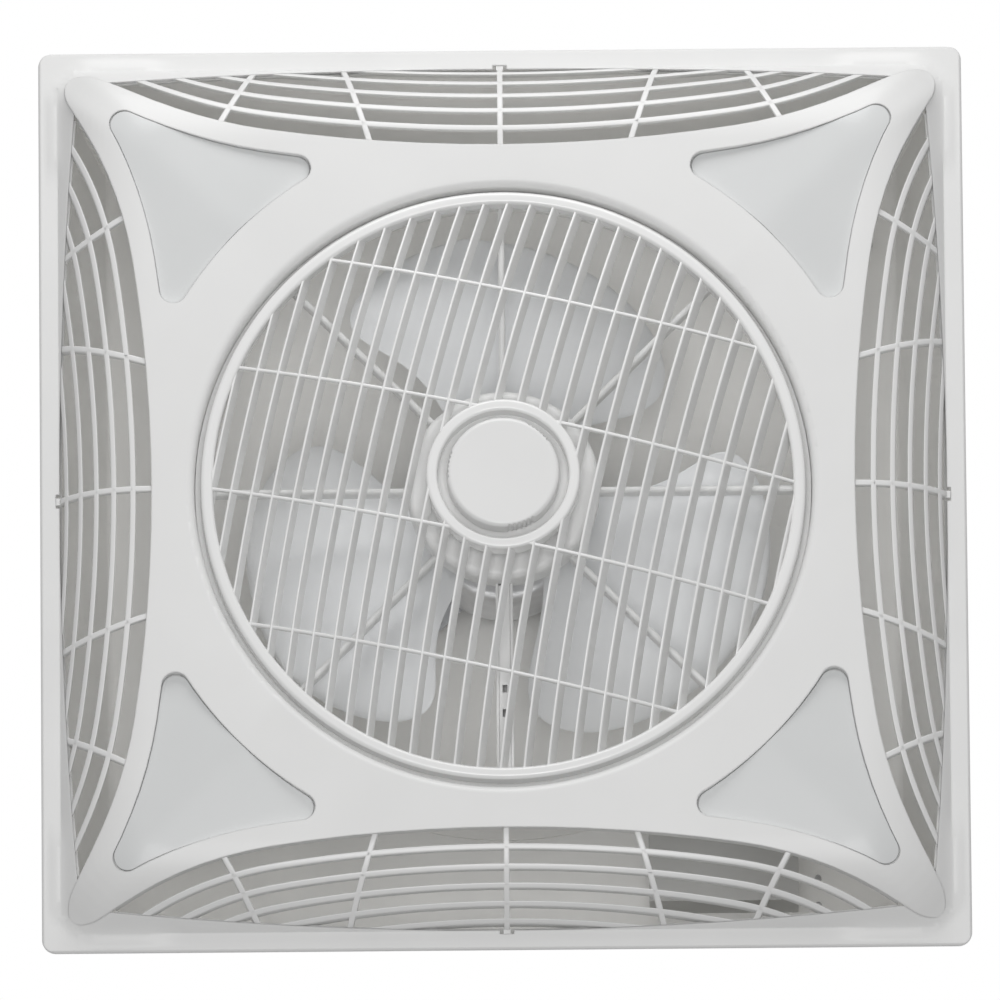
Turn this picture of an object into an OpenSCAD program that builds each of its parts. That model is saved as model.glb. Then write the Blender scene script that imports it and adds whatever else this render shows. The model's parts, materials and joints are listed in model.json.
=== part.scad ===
// Recessed ceiling tile fan, 595 mm square, with a turning louvre.
// +Z points up into the ceiling; the face looks down along -Z.
// The origin is the centre of the panel, on the plane of its rim face,
// which rests on the ceiling grid.

/* [Panel] */
// Width of the square front panel
panel_w = 595; // [585:1:620]
// Corner radius of the panel
panel_corner_r = 9; // [4:0.5:14]
// Thickness of the flat rim
rim_t = 3; // [2.4:0.1:4]
// Visible width of the rim at the middle of a side
rim_w = 12.5; // [11:0.1:14]
// Bow radius of the rim's inner edges
rim_bow_r = 3000; // [2600:50:4000]
// Chamfer of the rim's outer edge
rim_chamfer = 1.2; // [0.4:0.1:2]
// How far the flat middle of the panel stands below the rim
plateau_h = 36; // [33:0.5:38]
// Radius of the rounded sides of the panel
edge_r = 68.5; // [64:0.5:74]
// Wall of the bridge between the corners
shell_t = 2.2; // [1.8:0.1:2.4]
// How far the bridge stands proud of the grilles
grille_step = 2.6; // [2.5:0.1:3]
// Wall of the curved part of the rim
curve_t = 2.5; // [2:0.1:3]

/* [Bridge outline] */
// Width of each intake from the rim to the bridge, at mid side
intake_w = 59.5; // [54:0.5:64]
// Edge radius along the middle of a side
bridge_r1 = 1000; // [900:10:1200]
// Edge radius towards the corners
bridge_r2 = 270; // [240:5:300]
// Length from the lobe's outer side to where the radius changes
bridge_arm = 130; // [124:1:136]
// Slope of the edge where it reaches the lobe
bridge_slope = 28; // [26:0.5:30]
// Distance of the lobes from the panel's outer edge
lobe_margin = 17; // [16:0.5:20]
// Radius where the edge turns into the lobe
lobe_turn_r = 24; // [18:1:28]
// Corner radius of a lobe
lobe_corner_r = 9; // [6:0.5:12]

/* [Corner inserts] */
// Width of the strip between the bridge edge and an insert
insert_strip = 14.5; // [13:0.5:17]
// Distance of the inserts from the round opening
insert_margin = 41.5; // [38:0.5:46]
// Corner radius of an insert
insert_corner_r = 9; // [6:0.5:10]
// Thickness of an insert
insert_t = 2.4; // [1.8:0.1:3]
// Gap round an insert
insert_gap = 0.35; // [0.25:0.05:0.6]
// Slope of the two sides of an insert away from its ridge
insert_slope = 5; // [2:0.5:7]
// Half width of the rounded ridge
insert_ridge_w = 7; // [4:0.5:10]

/* [Intake grilles] */
// Distances of the arched rods from the bridge edge
rod_offsets = [11.9, 24.3, 35.5, 45.7, 54.9];
// Width of the rod next to the bridge
rod_w_in = 3.8; // [3:0.1:4.4]
// Width of the rod next to the rim
rod_w_out = 2.8; // [2.2:0.1:3.4]
// Depth of the rods behind their face
rod_t = 5; // [4:0.1:6]
// Width of the border that lies behind the bridge
border_w = 7.5; // [6:0.5:9]
// Width of the cross rods
cross_w = 3.8; // [3:0.1:4.6]

/* [Louvre] */
// Gap between the louvre ring and the round opening
louvre_gap = 4; // [2.5:0.5:6]
// Width of the louvre ring
louvre_ring_w = 8; // [6:0.5:9]
// Height of the louvre ring along the axis
louvre_ring_t = 14; // [12:0.5:16]
// Radius of the dome that the louvre front lies on
dome_r = 560; // [520:10:620]
// Depth of the slats along the axis
slat_depth = 11.5; // [9:0.5:12]
// Thickness of a slat
slat_t = 1.6; // [1.4:0.1:2]
// Distance between slats
slat_pitch = 14.7; // [14:0.1:16]
// Direction of the slats, from +Y
slat_turn = 12.5; // [8:0.5:16]
// Tilt of each slat
slat_tilt = 16; // [10:1:20]
// Thickness of the cross ribs
rib_t = 2; // [1.6:0.1:2.4]
// Distances of the inner and outer cross ribs from the axis
rib_offsets = [41, 123];
// Outer radius of the louvre hub
hub_r = 49.3; // [47:0.1:52]
// Radius of the recess in the louvre hub
hub_recess_r = 42; // [40:0.5:43]
// Front of the louvre hub below the rim plane
hub_front = 65; // [63:0.5:67]
// Outer radius of the cap
cap_r = 36; // [34:0.5:39]
// Front of the cap below the rim plane
cap_front = 70; // [68:0.5:72]
// Width of the bridge round the opening, at mid side
bridge_w = 27.5; // [24:0.5:29]
// Radius of the rounded lip of that opening
lip_r = 6; // [4:0.5:8]

/* [Spider and duct] */
// Height of the duct's mouth above the rim plane
duct_top = 44; // [40:1:50]
// Wall of the duct
duct_t = 2.5; // [2:0.1:3]
// Flare of the duct's mouth
duct_flare = 14; // [10:1:18]
// Outer radius of the spider's cup
cup_r = 62; // [58:0.5:64]
// Front of the spider's cup below the rim plane
cup_front = 36; // [34:0.5:38]
// Depth of the cup
cup_depth = 22; // [20:0.5:24]
// Number of spider arms
arm_count = 8; // [6:1:8]
// Width of a spider arm
arm_w = 4.2; // [3.4:0.1:5]
// Depth of a spider arm along the axis
arm_depth = 11; // [8:0.5:12]
// Width of the arm that holds the lead
channel_w = 11; // [9:0.5:13]

/* [Impeller] */
// Number of blades
blade_count = 3; // [3:1:5]
// Gap between the blade tips and the duct
blade_gap = 20; // [14:1:33]
// Widest half angle of a blade about the axis
blade_half_angle = 46; // [38:1:50]
// Thickness of a blade
blade_t = 2.4; // [2:0.1:3]
// Blade pitch at the hub and at the tip
blade_pitch = [22, 12];
// Direction of the first blade
blade_turn = 32; // [0:1:119]
// Middle height of the blades above the rim plane
blade_mid = 21; // [18:1:23]
// Outer radius of the impeller hub
boss_r = 36; // [32:0.5:40]

/* [Motors] */
// Radius of the main motor's case
motor_r = 52; // [48:0.5:58]
// Height of the main motor's case
motor_h = 58; // [52:1:62]
// Radius of the main shaft
shaft_r = 4; // [3.5:0.1:5]
// Running clearance of the shafts
run_gap = 0.05; // [0.03:0.01:0.08]
// Radius of the louvre motor
small_motor_r = 24.5; // [22:0.5:26]
// Height of the louvre motor
small_motor_h = 15; // [13:0.5:16]
// Radius of the louvre shaft
small_shaft_r = 3.5; // [3:0.1:4]

/* [Housing] */
// Height of the housing's top above the rim plane
housing_top = 140; // [136:1:160]
// Wall of the housing
housing_t = 2.5; // [2:0.1:3]
// Distance of the housing's wall from the panel's edge
housing_margin = 7.5; // [7:0.5:8]
// Width of the housing's foot flange
foot_w = 5; // [4:0.5:5.5]
// Height of the stiffening ribs on the housing
stiff_h = 2.5; // [1.5:0.5:4]
// Distance of the hanger holes from the edge of the housing's top, in X and in Y
hanger_margin = 28; // [26:1:40]
// How much the housing narrows from foot to top, on each side
house_taper = 32; // [28:1:40]
// Radius of the edge round the housing's top
house_edge_r = 8; // [5:0.5:9]
// Radius of the hanger holes
hanger_hole_r = 4.25; // [3.5:0.25:5.5]
// Thickness of the hanger brackets
hanger_t = 2; // [1.5:0.1:3]
// Radius of the cable inlet
inlet_r = 5; // [4:0.5:7]

/* [Hidden] */

// Fine circles: long ones, middling ones and small ones
fn_long = 160;
fn_mid = 72;
fn_small = 32;
// Overlap that joins shapes of one piece, and clearance between pieces
eps = 0.5;
seat_gap = 0.2;

// Panel levels and widths that follow from the values above
panel_half = panel_w / 2;
rim_half = panel_half - rim_w;
curve_level = edge_r - plateau_h;
plateau_half = rim_half - sqrt(pow(edge_r - grille_step, 2) - pow(curve_level, 2));
bridge_mid = rim_half - intake_w;
opening_r = bridge_mid - bridge_w;
insert_inner_r = opening_r + insert_margin;
lobe_half = panel_half - lobe_margin;
// Soft nose of the vault over each corner: where it starts and its radius
nose_start = (lobe_half - 2) * sqrt(2) - 73;
nose_r = 102.5;
arm_nose_start = nose_start - 2;
arm_nose_r = 99.3;

// Bridge edge on the +Y side, as centres and angles of its arcs
change_x = lobe_half - bridge_arm;
turn1 = asin(change_x / bridge_r1);
centre1 = [0, bridge_mid + bridge_r1];
centre2 = centre1 + (bridge_r1 - bridge_r2) * [sin(turn1), -cos(turn1)];
arm_start = centre2 + bridge_r2 * [sin(bridge_slope), -cos(bridge_slope)];
arm_run = (lobe_half - lobe_turn_r * (1 - cos(bridge_slope)) - arm_start.y) / sin(bridge_slope);
arm_end = arm_start + arm_run * [cos(bridge_slope), sin(bridge_slope)];
centre3 = arm_end + lobe_turn_r * [sin(bridge_slope), -cos(bridge_slope)];
lobe_r = min(lobe_corner_r, lobe_half - centre3.x);

// Louvre and spider levels
louvre_r = opening_r - louvre_gap;
louvre_ring_in = louvre_r - louvre_ring_w;
dome_top = plateau_h + dome_r - sqrt(pow(dome_r, 2) - pow(louvre_ring_in, 2));
slat_recess = 1;
rib_depth = 4;
hub_floor = hub_front - 14;
hub_floor_t = 2.5;
cap_stem_r = 10;
cap_patches = [71, 188.5, 311];
louvre_shaft_low = cap_front - 4;
collar_t = 2.4;
collar_out = opening_r + collar_t;
collar_top = -14;
duct_seat = -11;
duct_foot_w = bridge_w - border_w - lip_r - 4;
arm_gap = 1.6;
slat_rear = sqrt(pow(dome_r - slat_recess - slat_depth, 2) - pow(louvre_ring_in, 2)) - dome_r + dome_top;
arm_front = min(slat_rear, plateau_h - louvre_ring_t) - arm_gap;
ring_out = opening_r - 0.3;
ring_in = ring_out - 3.7;
cover_slots = [70.6, 131, 147, 175];
channel_wall = 1.8;
cup_back = cup_front - cup_depth;
cup_wall = 2.5;
cup_screw_r = 48;

// Impeller and motor levels
blade_r = opening_r - blade_gap;
nut_front = -9;
hub_low = -3;
hub_high = 34;
blade_stations = 12;
blade_cuts = 8;
blade_sweep = [-10, 16];
blade_camber = 6;
motor_low = housing_top - housing_t - 12 - motor_h;
motor_high = motor_low + motor_h;
motor_split = motor_low + motor_h / 2;
case_t = 2;
bearing_r = 11;
bearing_t = 7;
stator_r = motor_r - case_t - seat_gap;
rotor_r = 24;
coil_r = 4.5;
air_gap = 0.6;
core_h = 26;
bracket_t = 2.5;
mount_r = motor_r + 13;
mount_hole_r = 2.6;

// Housing
house_half = panel_half - housing_margin;
house_in = house_half - housing_t;
foot_half = house_half + foot_w;
house_lean = atan(house_taper / (housing_top - rim_t));
house_top_half = house_half - house_taper;
corner_cut = 4;
corner_half = (house_half - corner_cut) * sqrt(2);
hanger_pos = house_top_half - hanger_margin;
house_corner_r = 12;
house_screw_at = [1, 1] * (house_in - 9.5);
tab_from = house_screw_at.x - 5;
pad_from = house_screw_at.x - 12;
rim_hollow = plateau_half + sqrt(pow(edge_r - grille_step - curve_t, 2) - pow(curve_level - rim_t, 2));
stiff_pitch = 100;
stiff_w = 6;
stiff_ring_r = mount_r + 30.5;
stiff_end = hanger_pos * sqrt(2) - 85;
screw_r = 1.9;
screw_hole_r = 2.1;
pilot_depth = 2.2;
hanger_reach = 29;
hanger_screw_l = 9;

// Electrical box under the housing's top, with what it holds
box_size = [96, 78, 34];
box_at = [hanger_pos - 90, house_top_half - housing_t - 12.5 - box_size.y / 2];
box_wall = 2;
box_low = housing_top - housing_t - box_size.z;
box_ceiling = housing_top - housing_t - box_wall - 0.3;
gland_at = box_at + [-28, 29];
board_size = [44, 60];
gland_neck_r = inlet_r + 2.5;
cap_can_l = 34;
cap_side = 21;
cap_can_r = 11;
cap_can_at = [box_at.x - box_size.x / 2 + 8, box_at.y - box_size.y / 2 + cap_side, box_ceiling - cap_can_r];

// Grilles: run of the rods past their arcs, steps of the bowed edge, reach to
// each side, height of the flange behind the rim and how much of it shows, and
// cross rods as their X at the bridge and at the rim
rod_run = 45;
bow_steps = 16;
grille_reach = rim_half - 35;
grille_base = 8;
flange_show = 1.5;
cross_places = [[0, 0], [84, 101], [180, 157]];
catch_w = 9;
catch_d = 2.4;

// Seats of the corner inserts
insert_recess = 0.3;
ledge_gap = 0.1;
ledge_t = 1.8;
ledge_w = 3;
pocket_wall = 2;
pocket_depth = 11;
roof_span = 120;

// General shapes
function flip(list) = [for (i = [len(list) - 1 : -1 : 0]) list[i]];
function swap(list) = [for (p = list) [p.y, p.x]];
function turned(list, a) = [for (p = list) [p.x * cos(a) - p.y * sin(a), p.x * sin(a) + p.y * cos(a)]];

module slab(height, low) {
    translate([0, 0, low]) linear_extrude(height) children();
}

module tube(r_out, r_in, low, high, fn = fn_mid) {
    slab(high - low, low) difference() {
        circle(r_out, $fn = fn);
        circle(r_in, $fn = fn);
    }
}

module rounded_square(half, r, fn = fn_small) {
    for (turn = [0, 90]) rotate(turn) square([2 * half, 2 * (half - r)], center = true);
    for (x = [-1, 1], y = [-1, 1]) translate([x, y] * (half - r)) circle(r, $fn = fn);
}

// The vault: flat in the middle, rounded down to the rim on all four sides,
// with a soft nose over each corner
module vault_profile(inset, base) {
    translate([-plateau_half, inset - plateau_h]) square([2 * plateau_half, plateau_h - inset + base]);
    for (side = [0, 1]) mirror([side, 0]) intersection() {
        translate([plateau_half, curve_level]) circle(edge_r - inset, $fn = fn_long);
        translate([plateau_half, -plateau_h]) square([edge_r, plateau_h + base]);
    }
}

module nose_profile(inset, base, start, r) {
    translate([0, inset - plateau_h]) square([start, plateau_h - inset + base]);
    intersection() {
        translate([start, r - plateau_h]) circle(r - inset, $fn = fn_long);
        translate([start, -plateau_h]) square([r, plateau_h + base]);
    }
}

module vault_along_x(inset, base) {
    rotate([90, 0, 90]) linear_extrude(panel_w, center = true) vault_profile(inset, base);
}

module nose(inset, base, start = nose_start, r = nose_r) {
    rotate_extrude($fn = fn_long) nose_profile(inset, base, start, r);
}

module vault(inset, base, start = nose_start, r = nose_r) {
    intersection() {
        vault_along_x(inset, base);
        rotate(90) vault_along_x(inset, base);
        nose(inset, base, start, r);
    }
}

module vault_band(near, far, base) {
    difference() {
        vault_along_x(near, base);
        vault_along_x(far, base + 1);
    }
}

// Points of the bridge edge on the +Y side, from mid side outwards,
// moved away from the fan's axis by off
function edge_arcs(off) = concat(
    [for (i = [0 : 6]) let (a = turn1 * i / 6)
        centre1 + (bridge_r1 - off) * [sin(a), -cos(a)]],
    [for (i = [1 : 6]) let (a = turn1 + (bridge_slope - turn1) * i / 6)
        centre2 + (bridge_r2 - off) * [sin(a), -cos(a)]]);

function lobe_arcs() = concat(
    [for (i = [0 : 4]) let (a = bridge_slope * (1 - i / 4))
        centre3 + lobe_turn_r * [-sin(a), cos(a)]],
    [for (i = [0 : 4]) let (a = 45 * i / 4)
        [1, 1] * (lobe_half - lobe_r) + lobe_r * [sin(a), cos(a)]]);

module bridge_2d() {
    half = concat(edge_arcs(0), lobe_arcs());
    quarter = concat(half, flip(swap(half)));
    polygon([for (k = [0 : 3]) each turned(quarter, -90 * k)]);
}

// Points of the rim's bowed inner edge, the +Y side first
function rim_edge(inset) = let (
        drop = rim_bow_r - rim_half + inset,
        corner = (sqrt(2 * pow(rim_bow_r, 2) - drop * drop) - drop) / 2,
        side = [for (i = [0 : bow_steps - 1]) let (x = corner * (1 - 2 * i / bow_steps))
            [x, sqrt(pow(rim_bow_r, 2) - x * x) - drop]])
    [for (k = [0 : 3]) each turned(side, 90 * k)];

module rim_opening_2d(inset = 0) polygon(rim_edge(inset));

// Corner insert outline in the +X +Y corner, smaller by gap
module insert_2d(gap = 0) {
    arcs = edge_arcs(-insert_strip);
    far = arcs[len(arcs) - 1] + 60 * [cos(bridge_slope), sin(bridge_slope)];
    side = concat(arcs, [far, [far.x, 0], [0, 0]]);
    offset(r = insert_corner_r, $fn = fn_small)
        offset(delta = -(insert_corner_r + gap)) difference() {
            intersection() {
                polygon(side);
                polygon(swap(side));
            }
            circle(insert_inner_r, $fn = fn_long);
        }
}

// Roofs with their ridges on the diagonals, at the level of the bridge
module insert_roofs(inset, base) {
    ridge_r = insert_ridge_w / sin(insert_slope);
    low = inset - plateau_h;
    arc = [for (i = [-4 : 4]) let (a = insert_slope * i / 4)
        [ridge_r * sin(a), low + ridge_r * (1 - cos(a))]];
    drop = arc[8] + roof_span * [cos(insert_slope), sin(insert_slope)];
    for (turn = [45, 135]) rotate([90, 0, turn]) linear_extrude(2 * panel_w, center = true)
        polygon(concat(arc, [drop, [drop.x, base], [-drop.x, base], [-drop.x, drop.y]]));
}

module insert_space(inset, base) {
    intersection() {
        vault(inset, base, arm_nose_start, arm_nose_r);
        insert_roofs(inset, base);
    }
}

// Walls round the four inserts, and ledges under their edges
module insert_pockets() {
    ledge_top = insert_recess + insert_t + ledge_gap;
    intersection() {
        difference() {
            vault(0, rim_t, arm_nose_start, arm_nose_r);
            vault(pocket_depth, rim_t + 1);
        }
        slab(plateau_h, -plateau_h) for (k = [0 : 3]) rotate(90 * k) difference() {
            insert_2d(-insert_gap - pocket_wall);
            insert_2d(-insert_gap);
        }
    }
    intersection() {
        difference() {
            insert_space(ledge_top, 0);
            insert_space(ledge_top + ledge_t, 1);
        }
        slab(plateau_h, -plateau_h) for (k = [0 : 3]) rotate(90 * k) difference() {
            insert_2d(-insert_gap - eps);
            insert_2d(ledge_w);
        }
    }
}

// Rounded lip and collar of the round opening
module opening_lip() {
    rotate_extrude($fn = fn_long) {
        difference() {
            translate([opening_r + lip_r, lip_r - plateau_h]) circle(lip_r, $fn = fn_small);
            translate([opening_r + lip_r, lip_r - plateau_h]) circle(lip_r - shell_t, $fn = fn_small);
            translate([opening_r + lip_r + eps, -plateau_h]) square(2 * lip_r);
            translate([opening_r, lip_r - plateau_h]) square([2 * lip_r, 2 * lip_r]);
        }
        translate([opening_r, lip_r - plateau_h]) square([collar_t, plateau_h - lip_r + collar_top]);
    }
}

module chamfered_plate() {
    w = panel_half;
    c = rim_chamfer;
    rotate([90, 0, 90]) linear_extrude(panel_w, center = true)
        polygon([[c - w, 0], [w - c, 0], [w, c], [w, rim_t], [-w, rim_t], [-w, c]]);
}

// Solid corners of the rim that take the screws of the housing
module pads_2d() {
    for (k = [0 : 3]) rotate(90 * k) translate([pad_from, pad_from]) square(panel_half);
}

module flat_rim() {
    intersection() {
        slab(rim_t, 0) difference() {
            rounded_square(panel_half, panel_corner_r);
            rim_opening_2d();
            difference() {
                square(2 * rim_hollow, center = true);
                pads_2d();
            }
        }
        chamfered_plate();
        rotate(90) chamfered_plate();
    }
}

// One side of the rim inside its mitres, outside the bowed edge
module rim_side(k) {
    rotate(90 * k) slab(plateau_h + rim_t, -plateau_h) difference() {
        polygon([[0, 0], [-panel_half, panel_half], [panel_half, panel_half]]);
        rim_opening_2d();
    }
}

module rim_sides() {
    union() for (k = [0 : 3]) intersection() {
        rotate(90 * k) vault_along_x(grille_step, rim_t);
        rim_side(k);
    }
}

// Curved part of the rim, where the bowed edge cuts into the rounded sides
module curved_rim() {
    back = grille_step + curve_t;
    intersection() {
        nose(grille_step, rim_t);
        union() for (k = [0 : 3]) intersection() {
            rotate(90 * k) vault_band(grille_step, back, rim_t);
            rim_side(k);
        }
    }
    intersection() {
        difference() {
            nose(grille_step, rim_t);
            nose(back, rim_t + 1);
        }
        rim_sides();
    }
    intersection() {
        nose(grille_step, rim_t);
        rim_sides();
        slab(plateau_h + rim_t, -plateau_h) pads_2d();
    }
}

// Bridge between the intakes, hollow behind, with the round opening and the
// seats of the corner inserts cut out
module bridge() {
    difference() {
        intersection() {
            vault(0, rim_t, arm_nose_start, arm_nose_r);
            slab(plateau_h + rim_t, -plateau_h) bridge_2d();
        }
        intersection() {
            vault(shell_t, rim_t + 1, arm_nose_start, arm_nose_r);
            slab(plateau_h + rim_t + 1, -plateau_h) rim_opening_2d();
        }
        slab(plateau_h, -plateau_h - 1) circle(opening_r + lip_r, $fn = fn_long);
        for (k = [0 : 3]) rotate(90 * k) slab(plateau_h, -plateau_h - 1) insert_2d(-insert_gap);
    }
}

module front_panel() {
    color("whitesmoke") difference() {
        union() {
            flat_rim();
            curved_rim();
            bridge();
            insert_pockets();
            opening_lip();
        }
        // slots for the grille catches, one at the middle of each side
        for (k = [0 : 3]) rotate(90 * k) slab(rim_t + 2, -1)
            translate([rim_half - 1, -catch_w / 2]) square([catch_d + 1, catch_w]);
        for (p = corner_places(house_screw_at))
            translate([p.x, p.y, rim_t - pilot_depth]) cylinder(4, r = screw_hole_r, $fn = fn_small);
    }
}

// Cross rod: a straight bar from the bridge edge to the rim
function bridge_edge_y(x) = abs(x) < change_x
    ? bridge_mid + bridge_r1 - sqrt(pow(bridge_r1, 2) - x * x)
    : centre2.y - sqrt(pow(bridge_r2, 2) - pow(abs(x) - centre2.x, 2));

function both(half) = concat([for (p = flip(half)) if (p.x > 0) [-p.x, p.y]], half);
function arcs_on(off) = let (arcs = edge_arcs(off))
    concat(arcs, [arcs[len(arcs) - 1] + rod_run * [cos(bridge_slope), sin(bridge_slope)]]);

module rod_2d(off, w) {
    polygon(concat(both(arcs_on(off + w / 2)), flip(both(arcs_on(off - w / 2)))));
}

module cross_rod_2d(x_in, x_out) {
    from = [x_in, bridge_edge_y(x_in)];
    to = [x_out, rim_half];
    run = norm(to - from);
    translate(from) rotate(atan2(to.y - from.y, to.x - from.x))
        translate([-border_w, -cross_w / 2]) square([run + 2 * border_w, cross_w]);
}

// Grille of the +Y side; the others are turned copies
module intake_grille() {
    back = grille_step + rod_t;
    last = len(rod_offsets) - 1;
    color("whitesmoke") {
        intersection() {
            vault_band(grille_step, back, grille_base);
            slab(plateau_h + grille_base, -plateau_h) intersection() {
                union() {
                    for (i = [0 : last])
                        rod_2d(rod_offsets[i], rod_w_in + (rod_w_out - rod_w_in) * i / last);
                    rod_2d(-border_w / 2, border_w);
                    for (p = cross_places, side = p[0] == 0 ? [0] : [0, 1])
                        mirror([side, 0]) cross_rod_2d(p[0], p[1]);
                }
                rim_opening_2d(seat_gap);
                translate([-grille_reach, 0]) square([2 * grille_reach, panel_half]);
            }
        }
        // flange behind the rim
        intersection() {
            vault_band(grille_step + curve_t + seat_gap, back, grille_base);
            slab(plateau_h + grille_base, -plateau_h) difference() {
                translate([-grille_reach, bridge_mid])
                    square([2 * grille_reach, wall_at(grille_base) - housing_t / cos(house_lean)
                        - seat_gap - bridge_mid]);
                rim_opening_2d(flange_show);
            }
        }
        // catch in the rim's slot
        translate([-catch_w / 4, rim_half - 1 + seat_gap, 0.6])
            cube([catch_w / 2, catch_d + 1 - 2 * seat_gap, grille_base - 0.8]);
    }
}

module intake_grille_north() intake_grille();
module intake_grille_east() rotate(-90) intake_grille();
module intake_grille_south() rotate(180) intake_grille();
module intake_grille_west() rotate(90) intake_grille();

module corner_insert() {
    color("lightsteelblue") intersection() {
        difference() {
            insert_space(insert_recess, 0);
            insert_space(insert_recess + insert_t, 1);
        }
        slab(plateau_h, -plateau_h) insert_2d();
    }
}

module corner_insert_ne() corner_insert();
module corner_insert_nw() rotate(90) corner_insert();
module corner_insert_sw() rotate(180) corner_insert();
module corner_insert_se() rotate(-90) corner_insert();

// Air duct round the blades, standing on the bridge over the collar of the opening
module fan_duct() {
    socket_in = opening_r + collar_t + 0.25;
    foot_in = opening_r + lip_r + 1;
    foot_low = seat_gap + shell_t - plateau_h;
    web_low = lip_r + 1 - plateau_h;
    flare_c = [opening_r + duct_flare, duct_top - duct_flare];
    color("gainsboro") rotate_extrude($fn = fn_long) {
        translate([foot_in, foot_low]) square([duct_t, web_low + duct_t - foot_low]);
        translate([foot_in, foot_low]) square([duct_foot_w, duct_t]);
        translate([socket_in, web_low]) square([foot_in - socket_in + duct_t, duct_t]);
        translate([socket_in, web_low]) square([duct_t, duct_seat - web_low]);
        translate([opening_r, duct_seat]) square([socket_in + duct_t - opening_r, duct_t]);
        translate([opening_r, duct_seat]) square([duct_t, flare_c.y - duct_seat]);
        intersection() {
            difference() {
                translate(flare_c) circle(duct_flare, $fn = fn_mid);
                translate(flare_c) circle(duct_flare - duct_t, $fn = fn_mid);
            }
            translate(flare_c - [duct_flare, 0]) square(duct_flare);
        }
        translate([flare_c.x, duct_top - duct_t]) square([4, duct_t]);
    }
}

// Fixed spider in front of the blades, with a cup for the louvre motor
module spider_arm() {
    low = -arm_front;
    translate([cup_r - 1, -arm_w / 2, low + arm_w / 2])
        cube([ring_in - cup_r + 2, arm_w, arm_depth - arm_w / 2]);
    translate([cup_r - 1, 0, low + arm_w / 2]) rotate([0, 90, 0])
        cylinder(ring_in - cup_r + 2, r = arm_w / 2, $fn = fn_small);
}

module channel_arm() {
    low = -arm_front;
    run = ring_in - cup_r + 2;
    translate([cup_r - 1, 0, low]) difference() {
        translate([0, -channel_w / 2, 0]) cube([run, channel_w, arm_depth]);
        translate([-1, -channel_w / 2 + channel_wall, -1])
            cube([run - 2, channel_w - 2 * channel_wall, arm_depth - channel_wall + 1]);
    }
}

module spider_frame() {
    wall = cup_wall;
    edge = 5;
    color("white") {
        difference() {
            union() {
                rotate_extrude($fn = fn_mid) difference() {
                    union() {
                        translate([0, -cup_front]) square([cup_r - edge, cup_depth]);
                        translate([0, edge - cup_front]) square([cup_r, cup_depth - edge]);
                        translate([cup_r - edge, edge - cup_front]) circle(edge, $fn = fn_mid);
                    }
                    translate([0, wall - cup_front]) square([cup_r - wall - 2, cup_depth]);
                    translate([0, edge - cup_front]) square([cup_r - wall, cup_depth]);
                }
                for (i = [0 : arm_count - 1]) if (i * 360 / arm_count != 90)
                    rotate(i * 360 / arm_count) spider_arm();
                rotate(90) channel_arm();
                tube(ring_out, ring_in, -arm_front - 0.4, -arm_front + arm_depth, fn_long);
                tube(collar_out - 0.1, ring_out - eps, collar_top + seat_gap, duct_seat - seat_gap, fn_long);
                for (i = [0 : 3]) rotate(45 + 90 * i) translate([cup_screw_r, 0, -cup_front + 1])
                    cylinder(cup_depth - 1.1, r = 5, $fn = fn_small);
            }
            for (i = [0 : 3]) rotate(45 + 90 * i) translate([cup_screw_r, 0, -cup_back - 8.5])
                cylinder(10, r = screw_hole_r, $fn = fn_small);
            // shaft hole, lead hole and vents
            translate([0, 0, -cup_front - 1]) cylinder(cup_depth, r = small_shaft_r + 1.5, $fn = fn_small);
            rotate(90) translate([cup_r - 6, -2.5, -arm_front + 2]) cube([8, 5, 5]);
            for (i = [-2 : 2]) rotate(-90 + 14 * i) translate([cup_r - 11, -1, -cup_front - 1]) cube([4, 2, 5]);
        }
    }
}

module channel_cover() {
    low = -arm_front;
    run = ring_in - cup_r - 3.2;
    color("white") rotate(90) translate([cup_r + 1, 0, low]) difference() {
        translate([0, -channel_w / 2 + channel_wall + 0.1, 0])
            cube([run, channel_w - 2 * channel_wall - 0.2, 1.6]);
        for (r = cover_slots) translate([r - cup_r - 3.5, -1.5, -1]) cube([5, 3, 4]);
    }
}

module cup_cover() {
    color("white") difference() {
        tube(cup_r - 1.5, 3, -cup_back + 0.1, -cup_back + 2, fn_mid);
        for (i = [0 : 3]) rotate(45 + 90 * i) translate([cup_screw_r, 0, -cup_back - 1])
            cylinder(4, r = screw_hole_r, $fn = fn_small);
    }
}

module louvre_motor() {
    low = -cup_front + cup_wall + seat_gap;
    color("silver") difference() {
        union() {
            translate([0, 0, low]) cylinder(small_motor_h, r = small_motor_r, $fn = fn_mid);
            for (side = [-1, 1]) translate([side * (small_motor_r + 4), 0, low + 0.6]) cube([12, 9, 1.2], center = true);
        }
        translate([0, 0, low - 1]) cylinder(small_motor_h - 2, r = small_shaft_r + run_gap, $fn = fn_small);
        for (side = [-1, 1]) translate([side * (small_motor_r + 6), 0, low - 1])
            cylinder(4, r = 1.6, $fn = fn_small);
    }
}

module louvre_shaft() {
    top = -cup_front + cup_wall + seat_gap + small_motor_h - 3.5;
    color("silver") translate([0, 0, -louvre_shaft_low])
        cylinder(louvre_shaft_low + top, r = small_shaft_r, $fn = fn_small);
}

// Louvre rotor: a ring, a domed set of slats, cross ribs and a dished hub
module dome_band(front, back, r_low, r_high) {
    rotate_extrude($fn = fn_long) intersection() {
        translate([0, dome_r - dome_top]) difference() {
            circle(dome_r - front, $fn = fn_long * 2);
            circle(dome_r - back, $fn = fn_long * 2);
        }
        translate([r_low, -dome_top]) square([r_high - r_low, dome_top]);
    }
}

module slat_cuts() {
    count = floor(louvre_ring_in / slat_pitch - 0.5);
    for (k = [-count - 1 : count]) translate([(k + 0.5) * slat_pitch, 0, -plateau_h])
        rotate([0, slat_tilt, 0]) cube([slat_t, 2 * louvre_r, 6 * slat_depth], center = true);
}

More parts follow.
